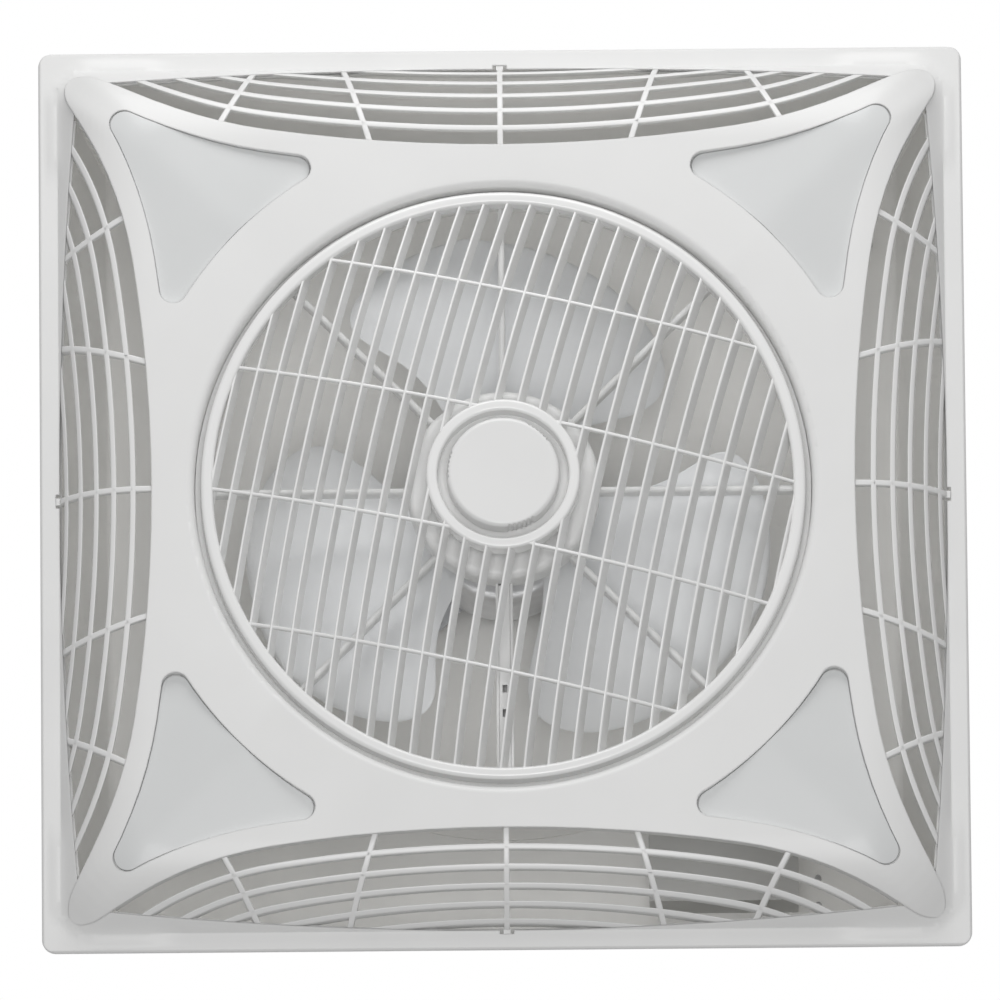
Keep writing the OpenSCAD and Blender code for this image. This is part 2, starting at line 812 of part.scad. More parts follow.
module louvre_rotor() {
    joint = 0.6;
    ring_edge = 2.5;
    color("white") {
        intersection() {
            dome_band(slat_recess, slat_recess + slat_depth, hub_r - joint, louvre_ring_in + joint);
            rotate(slat_turn) slat_cuts();
        }
        intersection() {
            dome_band(slat_recess + 0.3, slat_recess + rib_depth, hub_r - joint, louvre_ring_in + joint);
            rotate(slat_turn) for (at = rib_offsets, side = [-1, 1]) translate([0, side * at, -dome_top / 2])
                cube([2 * louvre_r, rib_t, 2 * dome_top], center = true);
        }
        rotate_extrude($fn = fn_long) difference() {
            union() {
                translate([louvre_ring_in, ring_edge - plateau_h])
                    square([louvre_ring_w, louvre_ring_t - ring_edge]);
                translate([louvre_ring_in + ring_edge, -plateau_h])
                    square([louvre_ring_w - 2 * ring_edge, ring_edge + 1]);
                for (x = [ring_edge, louvre_ring_w - ring_edge])
                    translate([louvre_ring_in + x, ring_edge - plateau_h]) circle(ring_edge, $fn = fn_small);
            }
            translate([louvre_ring_in + 2, 4 - plateau_h]) square([louvre_ring_w - 4, louvre_ring_t]);
        }
        rotate_extrude($fn = fn_mid) {
            difference() {
                union() {
                    translate([hub_recess_r, 2 - hub_front])
                        square([hub_r - hub_recess_r, hub_front - 2 - hub_floor + hub_floor_t]);
                    translate([hub_recess_r + 2, -hub_front]) square([hub_r - hub_recess_r - 4, 4]);
                    for (x = [hub_recess_r + 2, hub_r - 2]) translate([x, 2 - hub_front]) circle(2, $fn = fn_small);
                }
                translate([hub_recess_r + 2.2, 3 - hub_front])
                    square([hub_r - hub_recess_r - 4.4, hub_front]);
            }
            translate([small_shaft_r + run_gap, -hub_floor])
                square([hub_recess_r + 1 - small_shaft_r, hub_floor_t]);
            translate([small_shaft_r + run_gap, -hub_floor]) square([4.5, hub_floor - cup_front - 3.5]);
        }
    }
}

module louvre_cap() {
    edge = 3;
    low = -cap_front;
    rear = -hub_floor - 3;
    teeth = 6;
    pitch = 5;
    notch_r = 1.4;
    color("white") difference() {
        rotate_extrude($fn = fn_mid) difference() {
            union() {
                translate([0, low]) square([cap_r - edge, rear - low]);
                translate([0, low + edge]) square([cap_r, rear - low - edge]);
                translate([cap_r - edge, low + edge]) circle(edge, $fn = fn_small);
                translate([0, rear - 1]) square([cap_stem_r, -hub_floor - seat_gap - rear + 1]);
            }
            translate([-1, -louvre_shaft_low - 0.5]) square([small_shaft_r + run_gap + 1, 40]);
            translate([cap_stem_r, low + 4]) square([cap_r - cap_stem_r - 2.5, 40]);
        }
        for (patch = cap_patches, i = [0 : teeth - 1]) rotate(patch + (i - (teeth - 1) / 2) * pitch)
            translate([cap_r + 0.2, 0, low - 1]) cylinder(20, r = notch_r, $fn = 16);
    }
}

// Blade surface: leaf outline with twist and camber, as stations from root to tip
function leaf_angle(s) = blade_half_angle * (0.62 + 0.68 * s) * pow(max(0.02, 1 - pow(s, 6)), 0.8);
function blade_point(s, t, lift) = let (
        r = boss_r - 3 + (blade_r - boss_r + 3) * s,
        half = leaf_angle(s),
        angle = blade_sweep[0] + blade_sweep[1] * sin(180 * s) + half * t,
        pitch = blade_pitch[0] + (blade_pitch[1] - blade_pitch[0]) * s)
    [r * cos(angle), r * sin(angle),
        blade_mid + r * half * t * PI / 180 * tan(pitch) - blade_camber * (1 - t * t) * min(1, 3 * s) + lift];

module blade() {
    n = blade_cuts + 1;
    rows = blade_stations + 1;
    layer = rows * n;
    points = [for (lift = [0, blade_t], i = [0 : rows - 1], j = [0 : blade_cuts])
        blade_point(i / blade_stations, 2 * j / blade_cuts - 1, lift)];
    low = [for (i = [0 : rows - 2], j = [0 : n - 2]) let (a = i * n + j)
        each [[a, a + n, a + 1], [a + 1, a + n, a + n + 1]]];
    high = [for (f = low) [f[0] + layer, f[2] + layer, f[1] + layer]];
    ring = concat([for (j = [0 : n - 1]) j],
        [for (i = [1 : rows - 1]) i * n + n - 1],
        [for (j = [n - 2 : -1 : 0]) (rows - 1) * n + j],
        [for (i = [rows - 2 : -1 : 1]) i * n]);
    wall = [for (k = [0 : len(ring) - 1]) let (a = ring[k], b = ring[(k + 1) % len(ring)])
        each [[a, b, a + layer], [b, b + layer, a + layer]]];
    polyhedron(points, concat(low, high, wall));
}

module impeller() {
    wall = 2.5;
    edge = 4;
    color("aliceblue") {
        for (i = [0 : blade_count - 1]) rotate(blade_turn + 360 * i / blade_count) blade();
        rotate_extrude($fn = fn_mid) {
            difference() {
                union() {
                    translate([0, hub_low + edge]) square([boss_r, hub_high - hub_low - edge]);
                    translate([0, hub_low]) square([boss_r - edge, edge + 1]);
                    translate([boss_r - edge, hub_low + edge]) circle(edge, $fn = fn_small);
                }
                translate([-1, hub_low + wall + 1]) square([boss_r - wall + 1, hub_high]);
                translate([-1, hub_low - 1]) square([shaft_r + run_gap + 1, hub_high]);
            }
            translate([shaft_r + run_gap, hub_low]) square([5, hub_high - hub_low - 4]);
        }
    }
}

module blade_nut() {
    color("dimgray") difference() {
        union() {
            translate([0, 0, nut_front]) cylinder(hub_low - 2.2 - nut_front, r = 7.5, $fn = 6);
            translate([0, 0, hub_low - 2.5]) cylinder(2.5 - seat_gap, r = 12, $fn = fn_small);
        }
        translate([0, 0, nut_front - 1]) cylinder(20, r = shaft_r + run_gap, $fn = fn_small);
    }
}

// Main motor
module motor_shaft() {
    color("silver") translate([0, 0, nut_front + 1])
        cylinder(motor_high - case_t - 1 - nut_front - 1, r = shaft_r, $fn = fn_small);
}

module motor_rotor() {
    color("dimgray") tube(rotor_r, shaft_r + run_gap, motor_split - core_h / 2, motor_split + core_h / 2);
}

module motor_stator() {
    slots = 12;
    color("slategray") difference() {
        tube(stator_r, rotor_r + air_gap, motor_split - core_h / 2, motor_split + core_h / 2);
        for (i = [0 : slots - 1]) rotate(i * 360 / slots) translate([rotor_r + 8, 0, motor_split])
            cylinder(core_h + 2, r = 3.2, center = true, $fn = fn_small);
    }
}

module motor_windings() {
    color("peru") for (side = [0, 1]) translate([0, 0, motor_split]) mirror([0, 0, side])
        translate([0, 0, core_h / 2 + seat_gap]) rotate_extrude($fn = fn_mid)
            translate([rotor_r + 12, coil_r]) circle(coil_r, $fn = fn_small);
}

module motor_half() {
    h = motor_h / 2;
    edge = 6;
    color("silver") difference() {
        rotate_extrude($fn = fn_mid) {
            difference() {
                union() {
                    translate([0, edge]) square([motor_r, h - edge]);
                    square([motor_r - edge, edge + 1]);
                    translate([motor_r - edge, edge]) circle(edge, $fn = fn_mid);
                }
                translate([-1, case_t]) square([motor_r - edge - 1, h]);
                translate([-1, edge]) square([motor_r - case_t + 1, h]);
            }
            translate([bearing_r, case_t - 0.5]) square([3, bearing_t + 0.5]);
        }
        translate([0, 0, -1]) cylinder(h, r = shaft_r + 2, $fn = fn_small);
        for (i = [0 : 7]) rotate(22.5 + 45 * i) translate([30, 0, -1])
            cylinder(case_t + 2, r = 4, $fn = fn_small);
    }
}

module motor_case_lower() translate([0, 0, motor_low]) motor_half();
module motor_case_upper() translate([0, 0, motor_high]) mirror([0, 0, 1]) motor_half();

module bearing(low) {
    color("lightgray") rotate_extrude($fn = fn_mid) translate([0, low]) difference() {
        translate([shaft_r + run_gap, 0]) square([bearing_r - 0.1 - shaft_r - run_gap, bearing_t]);
        for (y = [-1, bearing_t - 0.6]) translate([shaft_r + 2, y]) square([3.5, 1.6]);
    }
}

module bearing_lower() bearing(motor_low + case_t + 0.1);
module bearing_upper() bearing(motor_high - case_t - 0.1 - bearing_t);

module motor_bracket() {
    low = motor_high + seat_gap;
    color("gainsboro") difference() {
        union() {
            translate([0, 0, low]) cylinder(bracket_t, r = motor_r - 4, $fn = fn_mid);
            for (i = [0 : 3]) rotate(45 + 90 * i) {
                translate([0, -11, low]) cube([mount_r, 22, bracket_t]);
                translate([mount_r, 0, low]) cylinder(bracket_t, r = 11, $fn = fn_mid);
            }
        }
        translate([0, 0, low - 1]) cylinder(bracket_t + 2, r = 14, $fn = fn_mid);
        for (i = [0 : 3]) rotate(45 + 90 * i) translate([mount_r, 0, low - 1])
            cylinder(bracket_t + 2, r = mount_hole_r, $fn = fn_small);
    }
}

module motor_bushes() {
    low = motor_high + seat_gap + bracket_t + 0.1;
    color("dimgray") for (i = [0 : 3]) rotate(45 + 90 * i) translate([mount_r, 0, 0])
        tube(7.5, mount_hole_r, low, housing_top - housing_t - 0.1, fn_small);
}

module motor_screws() {
    low = motor_high - 2;
    color("silver") for (i = [0 : 3]) rotate(45 + 90 * i) translate([mount_r, 0, low]) {
        cylinder(housing_top - low + 1, r = mount_hole_r - seat_gap, $fn = fn_small);
        translate([0, 0, housing_top - low + 0.1]) cylinder(3, r = 4.6, $fn = fn_small);
    }
}

// Housing
function corner_places(at) = [for (a = [0 : 90 : 270])
    [at.x * cos(a) - at.y * sin(a), at.x * sin(a) + at.y * cos(a)]];

// Half width of the housing's wall face at a height
function wall_at(z) = house_half - house_taper * (z - rim_t) / (housing_top - rim_t);

// Section of the housing: leaning walls and a rounded edge at the top
module tub_profile(inset, base, foot, lean) {
    reach = foot * cos(lean) + rim_t * sin(lean);
    edge_at = [(reach - house_edge_r - (housing_top - house_edge_r) * sin(lean)) / cos(lean),
        housing_top - house_edge_r];
    half = concat([[(reach - inset - base * sin(lean)) / cos(lean), base]],
        [for (i = [0 : 6]) let (a = lean + (90 - lean) * i / 6)
            edge_at + (house_edge_r - inset) * [cos(a), sin(a)]]);
    polygon(concat(half, flip([for (p = half) [-p.x, p.y]])));
}

module tub(inset, base) {
    intersection() {
        along(0) tub_profile(inset, base, house_half, house_lean);
        along(90) tub_profile(inset, base, house_half, house_lean);
        along(45) tub_profile(inset, base, corner_half, atan(sqrt(2) * tan(house_lean)));
        along(135) tub_profile(inset, base, corner_half, atan(sqrt(2) * tan(house_lean)));
    }
}

module along(turn) {
    rotate([90, 0, turn]) linear_extrude(2 * panel_w, center = true) children();
}

module stiffeners() {
    low = rim_t + 6;
    high = housing_top - house_edge_r - 1;
    for (k = [0 : 3]) rotate(90 * k) {
        for (i = [-2 : 2]) translate([i * stiff_pitch - stiff_w / 2, 0, 0])
            rotate([90, 0, 90]) linear_extrude(stiff_w) polygon([[wall_at(low) - eps, low], [wall_at(low) + stiff_h, low],
                [wall_at(high) + stiff_h, high], [wall_at(high) - eps, high]]);
        rotate(45) translate([stiff_ring_r - 2, -4, housing_top - eps])
            cube([stiff_end - stiff_ring_r + 2, 8, stiff_h + eps]);
    }
    tube(stiff_ring_r, stiff_ring_r - 8, housing_top - eps, housing_top + stiff_h, fn_mid);
}

module rear_housing() {
    color("lightgray") difference() {
        union() {
            difference() {
                union() {
                    tub(0, rim_t);
                    slab(housing_t, rim_t) rounded_square(foot_half, house_corner_r);
                }
                tub(housing_t, rim_t - 1);
            }
            // corner tabs for the panel screws
            slab(housing_t, rim_t) intersection() {
                rounded_square(house_half - 1, house_corner_r + 2);
                for (k = [0 : 3]) rotate(45 + 90 * k)
                    translate([tab_from * sqrt(2), -60]) square([60, 120]);
            }
            stiffeners();
        }
        for (p = corner_places(house_screw_at)) translate([p.x, p.y, rim_t - 1])
            cylinder(housing_t + 2, r = screw_hole_r, $fn = fn_small);
        for (i = [0 : 3]) rotate(45 + 90 * i) translate([mount_r, 0, housing_top - 10])
            cylinder(20, r = mount_hole_r, $fn = fn_small);
        for (k = [0 : 3]) rotate(90 * k) for (p = hanger_screw_places())
            translate([p.x, p.y, housing_top - 10]) cylinder(20, r = screw_hole_r, $fn = fn_small);
        translate([gland_at.x, gland_at.y, housing_top - 10])
            cylinder(20, r = gland_neck_r + 0.2, $fn = fn_small);
    }
}

// Hanger brackets, folded from sheet, one near each corner
function hanger_screw_places() = [for (side = [-1, 1]) [hanger_pos - hanger_reach, hanger_pos + 9 * side]];

module hanger_bracket() {
    w = 34;
    rise = 16;
    low = housing_top + 0.1;
    x_in = hanger_pos - hanger_reach - 11;
    x_rise = hanger_pos - 15;
    color("silver") difference() {
        union() {
            translate([x_in, hanger_pos - w / 2, low]) cube([x_rise - x_in + hanger_t, w, hanger_t]);
            translate([x_rise, hanger_pos - w / 2, low]) cube([hanger_t, w, rise]);
            translate([x_rise, hanger_pos - w / 2, low + rise - hanger_t]) cube([18, w, hanger_t]);
            translate([hanger_pos, hanger_pos, low + rise - hanger_t])
                cylinder(hanger_t, r = w / 2, $fn = fn_mid);
        }
        translate([hanger_pos, hanger_pos, low]) cylinder(rise + 1, r = hanger_hole_r, $fn = fn_small);
        for (p = hanger_screw_places()) translate([p.x, p.y, low - 1])
            cylinder(hanger_t + 2, r = screw_hole_r, $fn = fn_small);
    }
}

module hanger_bracket_ne() hanger_bracket();
module hanger_bracket_nw() rotate(90) hanger_bracket();
module hanger_bracket_sw() rotate(180) hanger_bracket();
module hanger_bracket_se() rotate(-90) hanger_bracket();

module screw(head_low, tip) {
    translate([0, 0, tip]) cylinder(head_low - tip + 0.5, r = screw_r, $fn = fn_small);
    translate([0, 0, head_low]) cylinder(2.2, r = 3.6, $fn = fn_small);
}

module hanger_screws() {
    head = housing_top + 0.1 + hanger_t + 0.1;
    color("silver") for (k = [0 : 3]) rotate(90 * k) for (p = hanger_screw_places())
        translate([p.x, p.y, 0]) screw(head, head - hanger_screw_l);
}

module housing_screws() {
    head = rim_t + housing_t + 0.1;
    color("silver") for (p = corner_places(house_screw_at)) translate([p.x, p.y, 0])
        screw(head, rim_t - pilot_depth + 0.3);
}

module spider_screws() {
    head = -cup_back + 2.1;
    color("silver") for (i = [0 : 3]) rotate(45 + 90 * i) translate([cup_screw_r, 0, 0])
        screw(head, -cup_back - 8);
}

// Electrical box under the housing's top
module control_box() {
    color("whitesmoke") difference() {
        translate([box_at.x - box_size.x / 2, box_at.y - box_size.y / 2, box_low]) cube(box_size - [0, 0, 0.1]);
        translate([box_at.x - box_size.x / 2 + box_wall, box_at.y - box_size.y / 2 + box_wall, box_low - 1])
            cube(box_size - [2 * box_wall, 2 * box_wall, box_wall - 1]);
        translate([gland_at.x, gland_at.y, box_low]) cylinder(60, r = gland_neck_r + 0.2, $fn = fn_small);
    }
}

module control_box_cover() {
    lip = 3;
    inner = box_wall + 0.2;
    color("whitesmoke") translate([box_at.x - box_size.x / 2, box_at.y - box_size.y / 2, box_low]) {
        translate([0, 0, -box_wall - 0.1]) cube([box_size.x, box_size.y, box_wall]);
        difference() {
            translate([inner, inner, -eps]) cube([box_size.x - 2 * inner, box_size.y - 2 * inner, lip]);
            translate([inner + 1.6, inner + 1.6, -1])
                cube([box_size.x - 2 * inner - 3.2, box_size.y - 2 * inner - 3.2, lip + 2]);
        }
    }
}

module circuit_board() {
    x0 = box_at.x - 2;
    y0 = box_at.y - box_size.y / 2 + box_wall + 2;
    top = box_ceiling;
    color("seagreen") {
        translate([x0, y0, top - 6]) cube([board_size.x, board_size.y, 1.6]);
        for (x = [4, board_size.x - 4], y = [4, board_size.y - 4]) translate([x0 + x, y0 + y, top - 5])
            cylinder(5, r = 2.5, $fn = fn_small);
        for (y = [8, 24, 40]) translate([x0 + 12, y0 + y, top - 18]) cube([18, 12, 12.5]);
    }
}

module terminal_block() {
    x0 = box_at.x - box_size.x / 2 + box_wall + 4;
    y0 = box_at.y + 1;
    top = box_ceiling;
    poles = 4;
    color("ivory") difference() {
        translate([x0, y0, top - 14]) cube([poles * 8, 18, 14]);
        for (i = [0 : poles - 1]) translate([x0 + 4 + 8 * i, y0 + 9, top - 15])
            cylinder(9, r = 2.6, $fn = fn_small);
    }
}

module run_capacitor() {
    color("white") translate(cap_can_at) rotate([0, 90, 0]) cylinder(cap_can_l, r = cap_can_r, $fn = fn_mid);
}

module capacitor_strap() {
    w = 8;
    color("silver") translate([cap_can_at.x + cap_can_l / 2 - w / 2, cap_can_at.y, cap_can_at.z]) difference() {
        union() {
            rotate([0, 90, 0]) cylinder(w, r = cap_can_r + 1.4, $fn = fn_mid);
            translate([0, -cap_can_r - 6, cap_can_r - 1.6]) cube([w, 2 * cap_can_r + 12, 1.4]);
        }
        translate([-1, 0, 0]) rotate([0, 90, 0]) cylinder(w + 2, r = cap_can_r + 0.1, $fn = fn_mid);
        translate([-1, -30, cap_can_r - 0.2]) cube([w + 2, 60, 10]);
    }
}

module cable_gland() {
    color("dimgray") translate([gland_at.x, gland_at.y, housing_top]) difference() {
        union() {
            translate([0, 0, 0.1]) cylinder(5, r = 12, $fn = 6);
            translate([0, 0, -housing_t - box_wall - 3]) cylinder(12, r = gland_neck_r, $fn = fn_small);
            translate([0, 0, 5]) cylinder(9, r = gland_neck_r + 1.5, $fn = fn_small);
        }
        translate([0, 0, -20]) cylinder(60, r = inlet_r, $fn = fn_small);
    }
}

front_panel();
intake_grille_east();
intake_grille_north();
intake_grille_west();
intake_grille_south();
corner_insert_ne();
corner_insert_nw();
corner_insert_sw();
corner_insert_se();
fan_duct();
spider_frame();
channel_cover();
cup_cover();
louvre_motor();
louvre_shaft();
louvre_rotor();
louvre_cap();
impeller();
blade_nut();
motor_shaft();
motor_rotor();
motor_stator();
motor_windings();
motor_case_lower();
motor_case_upper();
bearing_lower();
bearing_upper();
motor_bracket();
motor_bushes();
motor_screws();
rear_housing();
control_box();
control_box_cover();
circuit_board();
terminal_block();
run_capacitor();
capacitor_strap();
cable_gland();
hanger_bracket_ne();
hanger_bracket_nw();
hanger_bracket_sw();
hanger_bracket_se();
hanger_screws();
housing_screws();
spider_screws();
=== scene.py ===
import json
import math

import bmesh
import bpy
import numpy as np
from mathutils import Matrix, Vector


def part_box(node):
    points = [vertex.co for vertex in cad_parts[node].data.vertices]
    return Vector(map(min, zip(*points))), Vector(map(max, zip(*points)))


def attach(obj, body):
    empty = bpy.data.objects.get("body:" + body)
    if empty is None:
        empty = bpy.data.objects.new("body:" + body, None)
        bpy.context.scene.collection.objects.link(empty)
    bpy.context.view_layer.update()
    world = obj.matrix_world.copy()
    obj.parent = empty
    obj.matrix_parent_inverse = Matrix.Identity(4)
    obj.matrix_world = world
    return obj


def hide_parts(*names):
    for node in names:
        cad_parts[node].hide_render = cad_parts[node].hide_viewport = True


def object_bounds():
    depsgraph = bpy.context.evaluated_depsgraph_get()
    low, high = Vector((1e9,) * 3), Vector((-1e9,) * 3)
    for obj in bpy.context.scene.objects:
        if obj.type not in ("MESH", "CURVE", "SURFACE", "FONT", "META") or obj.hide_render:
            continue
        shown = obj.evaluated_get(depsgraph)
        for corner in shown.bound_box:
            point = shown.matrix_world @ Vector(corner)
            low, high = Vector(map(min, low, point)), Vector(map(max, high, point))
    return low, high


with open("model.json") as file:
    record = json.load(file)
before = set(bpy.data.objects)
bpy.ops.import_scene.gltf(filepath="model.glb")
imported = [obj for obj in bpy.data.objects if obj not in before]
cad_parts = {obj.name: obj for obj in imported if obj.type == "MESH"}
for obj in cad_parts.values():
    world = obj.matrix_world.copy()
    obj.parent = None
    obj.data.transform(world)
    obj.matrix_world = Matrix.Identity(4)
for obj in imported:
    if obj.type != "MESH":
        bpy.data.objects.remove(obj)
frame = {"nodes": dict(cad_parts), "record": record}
cad_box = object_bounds()

# View of the photograph: almost square on to the face, from a little to the
# side of +Y, and from so far away that there is hardly any perspective
CAMERA_DISTANCE = 17.0
CAMERA_TILT = math.radians(14.0)
CAMERA_ROLL = math.radians(0.5)
FRAME_WIDTH = 0.6422
FRAME_PIXELS = 1000
ORIGIN_PIXEL = (503.3, 497.8)
SENSOR = 36.0

# Shape of the panel, grilles and louvre, in metres, as the solids have them
MM = 0.001
PANEL_HALF = 297.5 * MM
RIM_HALF = 285.0 * MM
PLATEAU = 36.0 * MM
EDGE_R = 68.5 * MM
CURVE_LEVEL = EDGE_R - PLATEAU
GRILLE_STEP = 2.6 * MM
GRILLE_BASE = 8.0 * MM
PLATEAU_HALF = RIM_HALF - math.sqrt((EDGE_R - GRILLE_STEP) ** 2 - CURVE_LEVEL ** 2)
BOW_R = 3.0
BRIDGE_MID = RIM_HALF - 59.5 * MM
BRIDGE_R1, BRIDGE_R2 = 1.0, 0.27
BRIDGE_SLOPE = math.radians(28.0)
LOBE_HALF = (297.5 - 17.0) * MM
CHANGE_X = LOBE_HALF - 130.0 * MM
TURN_1 = math.asin(CHANGE_X / BRIDGE_R1)
CENTRE_1 = (0.0, BRIDGE_MID + BRIDGE_R1)
CENTRE_2 = ((BRIDGE_R1 - BRIDGE_R2) * math.sin(TURN_1),
            CENTRE_1[1] - (BRIDGE_R1 - BRIDGE_R2) * math.cos(TURN_1))
ROD_OFFSETS = [11.9 * MM, 24.3 * MM, 35.5 * MM, 45.7 * MM, 54.9 * MM]
ROD_W_IN, ROD_W_OUT, ROD_T, CROSS_W = 3.8 * MM, 2.8 * MM, 5.0 * MM, 3.8 * MM
CROSS_PLACES = [(0.0, 0.0), (84.0 * MM, 101.0 * MM), (180.0 * MM, 157.0 * MM)]
GRILLE_REACH = 250.0 * MM
ROD_ROUND = 0.9 * MM
BRIDGE_STRIP_W = 7.5 * MM
CATCH_SIZE, CATCH_MID = (4.5 * MM, 3.0 * MM, 7.2 * MM), (0.0, 285.7 * MM, 4.2 * MM)

# Corner lobes: a nose turned about the fan axis meets the rounded sides, and
# the corner inserts have roofs with their ridges on the diagonals
NOSE_START = (LOBE_HALF - 2.0 * MM) * math.sqrt(2) - 73.0 * MM
RIM_NOSE = (NOSE_START, 102.5 * MM)
ARM_NOSE = (NOSE_START - 2.0 * MM, 99.3 * MM)
ROOF_SLOPE = math.radians(5.0)
ROOF_RIDGE = 7.0 * MM
SOFT_R = 7.0 * MM
SOFT_FROM, SOFT_FULL = 205.0 * MM, 232.0 * MM
SOFT_PITCH = 3.0 * MM
SOFT_RINGS, SOFT_SPOKES = (0.35, 0.7, 1.0), 12

# Louvre rotor
DOME_R = 560.0 * MM
RING_R, RING_IN = 194.0 * MM, 186.0 * MM
RING_BACK = 22.0 * MM
DOME_CENTRE = math.sqrt(DOME_R ** 2 - RING_IN ** 2) - PLATEAU
SLAT_RECESS, SLAT_DEPTH, SLAT_T, SLAT_PITCH = 1.0 * MM, 11.5 * MM, 1.6 * MM, 14.7 * MM
SLAT_TURN = math.radians(12.5)
SLAT_TILT = math.radians(16.0)
RIB_OFFSETS = [41.0 * MM, 123.0 * MM]
RIB_T, RIB_DEPTH = 2.0 * MM, 4.0 * MM
HUB_R, HUB_RECESS, HUB_FRONT, HUB_FLOOR = 49.3 * MM, 42.0 * MM, 65.0 * MM, 51.0 * MM
JOINT = 0.6 * MM

# Impeller
BOSS_R, BLADE_R, BLADE_T = 36.0 * MM, 178.0 * MM, 2.4 * MM
HUB_LOW, HUB_HIGH, SHAFT_R, RUN_GAP = -3.0 * MM, 34.0 * MM, 4.0 * MM, 0.05 * MM
BLADE_COUNT = 3
BLADE_TURN = math.radians(32.0)
BLADE_MID = 21.0 * MM
BLADE_HALF = 46.0
BLADE_PITCH = (22.0, 12.0)
BLADE_SWEEP = (-10.0, 16.0)
BLADE_CAMBER = 6.0 * MM

# Colours of the plastics
WHITE = (0.80, 0.80, 0.795)
SILVER = (0.68, 0.69, 0.69)
GREY = (0.95, 0.945, 0.93)
BEVEL_SAMPLES = 3

# Lamps: name, place, size and power. All point at the middle of the rim face.
LAMPS = [("key", (0.0, -1.15, -0.72), 0.9, 9.0),
         ("front", (0.0, 0.6, -2.4), 1.0, 19.5),
         ("top", (1.5, -2.0, 3.0), 2.5, 75.0)]
SKY_STRENGTH = 0.32

# The housing is pale inside, so light that shows in it was reflected many times
DIFFUSE_BOUNCES = 12

# Floor, just under the cap
FLOOR_SIZE = 12.0
FLOOR_GAP = 0.5 * MM
FLOOR_COLOUR = (0.9, 0.9, 0.9)


def new_material(name):
    material = bpy.data.materials.new(name)
    material.use_nodes = True
    return material, material.node_tree.nodes, material.node_tree.links


def noise_texture(nodes, links, coordinates, scale, detail=3.0):
    texture = nodes.new("ShaderNodeTexNoise")
    texture.inputs["Scale"].default_value = scale
    texture.inputs["Detail"].default_value = detail
    links.new(coordinates.outputs["Object"], texture.inputs["Vector"])
    return texture


def colour_ramp(nodes, links, source, low, high, start=0.3, end=0.7):
    ramp = nodes.new("ShaderNodeValToRGB")
    ramp.color_ramp.elements[0].position = start
    ramp.color_ramp.elements[1].position = end
    ramp.color_ramp.elements[0].color = (*low, 1.0)
    ramp.color_ramp.elements[1].color = (*high, 1.0)
    links.new(source, ramp.inputs["Fac"])
    return ramp


def shade(colour, factor):
    return tuple(min(1.0, channel * factor) for channel in colour)


def plastic(name, colour, roughness, grain=900.0, grain_depth=0.00002, mottle=0.015, edge=0.0,
            coat=0.0):
    """Moulded plastic: a fine grain, faint mottling, and edges softened by edge metres."""
    material, nodes, links = new_material(name)
    surface = nodes["Principled BSDF"]
    coordinates = nodes.new("ShaderNodeTexCoord")
    mottling = noise_texture(nodes, links, coordinates, 14.0)
    ramp = colour_ramp(nodes, links, mottling.outputs["Fac"], shade(colour, 1.0 - mottle),
                       shade(colour, 1.0 + mottle))
    links.new(ramp.outputs["Color"], surface.inputs["Base Color"])
    fine = noise_texture(nodes, links, coordinates, grain, 2.0)
    rough = nodes.new("ShaderNodeMapRange")
    rough.inputs["To Min"].default_value = roughness - 0.05
    rough.inputs["To Max"].default_value = roughness + 0.05
    links.new(fine.outputs["Fac"], rough.inputs["Value"])
    links.new(rough.outputs["Result"], surface.inputs["Roughness"])
    bump = nodes.new("ShaderNodeBump")
    bump.inputs["Distance"].default_value = grain_depth
    links.new(fine.outputs["Fac"], bump.inputs["Height"])
    if edge:
        bevel = nodes.new("ShaderNodeBevel")
        bevel.samples = BEVEL_SAMPLES
        bevel.inputs["Radius"].default_value = edge
        links.new(bevel.outputs["Normal"], bump.inputs["Normal"])
    links.new(bump.outputs["Normal"], surface.inputs["Normal"])
    surface.inputs["IOR"].default_value = 1.5
    surface.inputs["Coat Weight"].default_value = coat
    surface.inputs["Coat Roughness"].default_value = 0.15
    return material


def metal(name, colour, roughness, streak=(40.0, 900.0, 900.0), patch=0.06):
    """Sheet or turned metal with fine streaks and cloudy patches."""
    material, nodes, links = new_material(name)
    surface = nodes["Principled BSDF"]
    coordinates = nodes.new("ShaderNodeTexCoord")
    mapping = nodes.new("ShaderNodeMapping")
    mapping.inputs["Scale"].default_value = streak
    links.new(coordinates.outputs["Object"], mapping.inputs["Vector"])
    streaks = nodes.new("ShaderNodeTexNoise")
    streaks.inputs["Scale"].default_value = 1.0
    links.new(mapping.outputs["Vector"], streaks.inputs["Vector"])
    patches = nodes.new("ShaderNodeTexVoronoi")
    patches.inputs["Scale"].default_value = 55.0
    links.new(coordinates.outputs["Object"], patches.inputs["Vector"])
    ramp = colour_ramp(nodes, links, patches.outputs["Distance"], shade(colour, 1.0 - patch),
                       shade(colour, 1.0 + patch), 0.0, 1.0)
    links.new(ramp.outputs["Color"], surface.inputs["Base Color"])
    rough = nodes.new("ShaderNodeMapRange")
    rough.inputs["To Min"].default_value = roughness - 0.08
    rough.inputs["To Max"].default_value = roughness + 0.08
    links.new(streaks.outputs["Fac"], rough.inputs["Value"])
    links.new(rough.outputs["Result"], surface.inputs["Roughness"])
    bump = nodes.new("ShaderNodeBump")
    bump.inputs["Distance"].default_value = 0.00003
    links.new(streaks.outputs["Fac"], bump.inputs["Height"])
    links.new(bump.outputs["Normal"], surface.inputs["Normal"])
    surface.inputs["Metallic"].default_value = 1.0
    return material


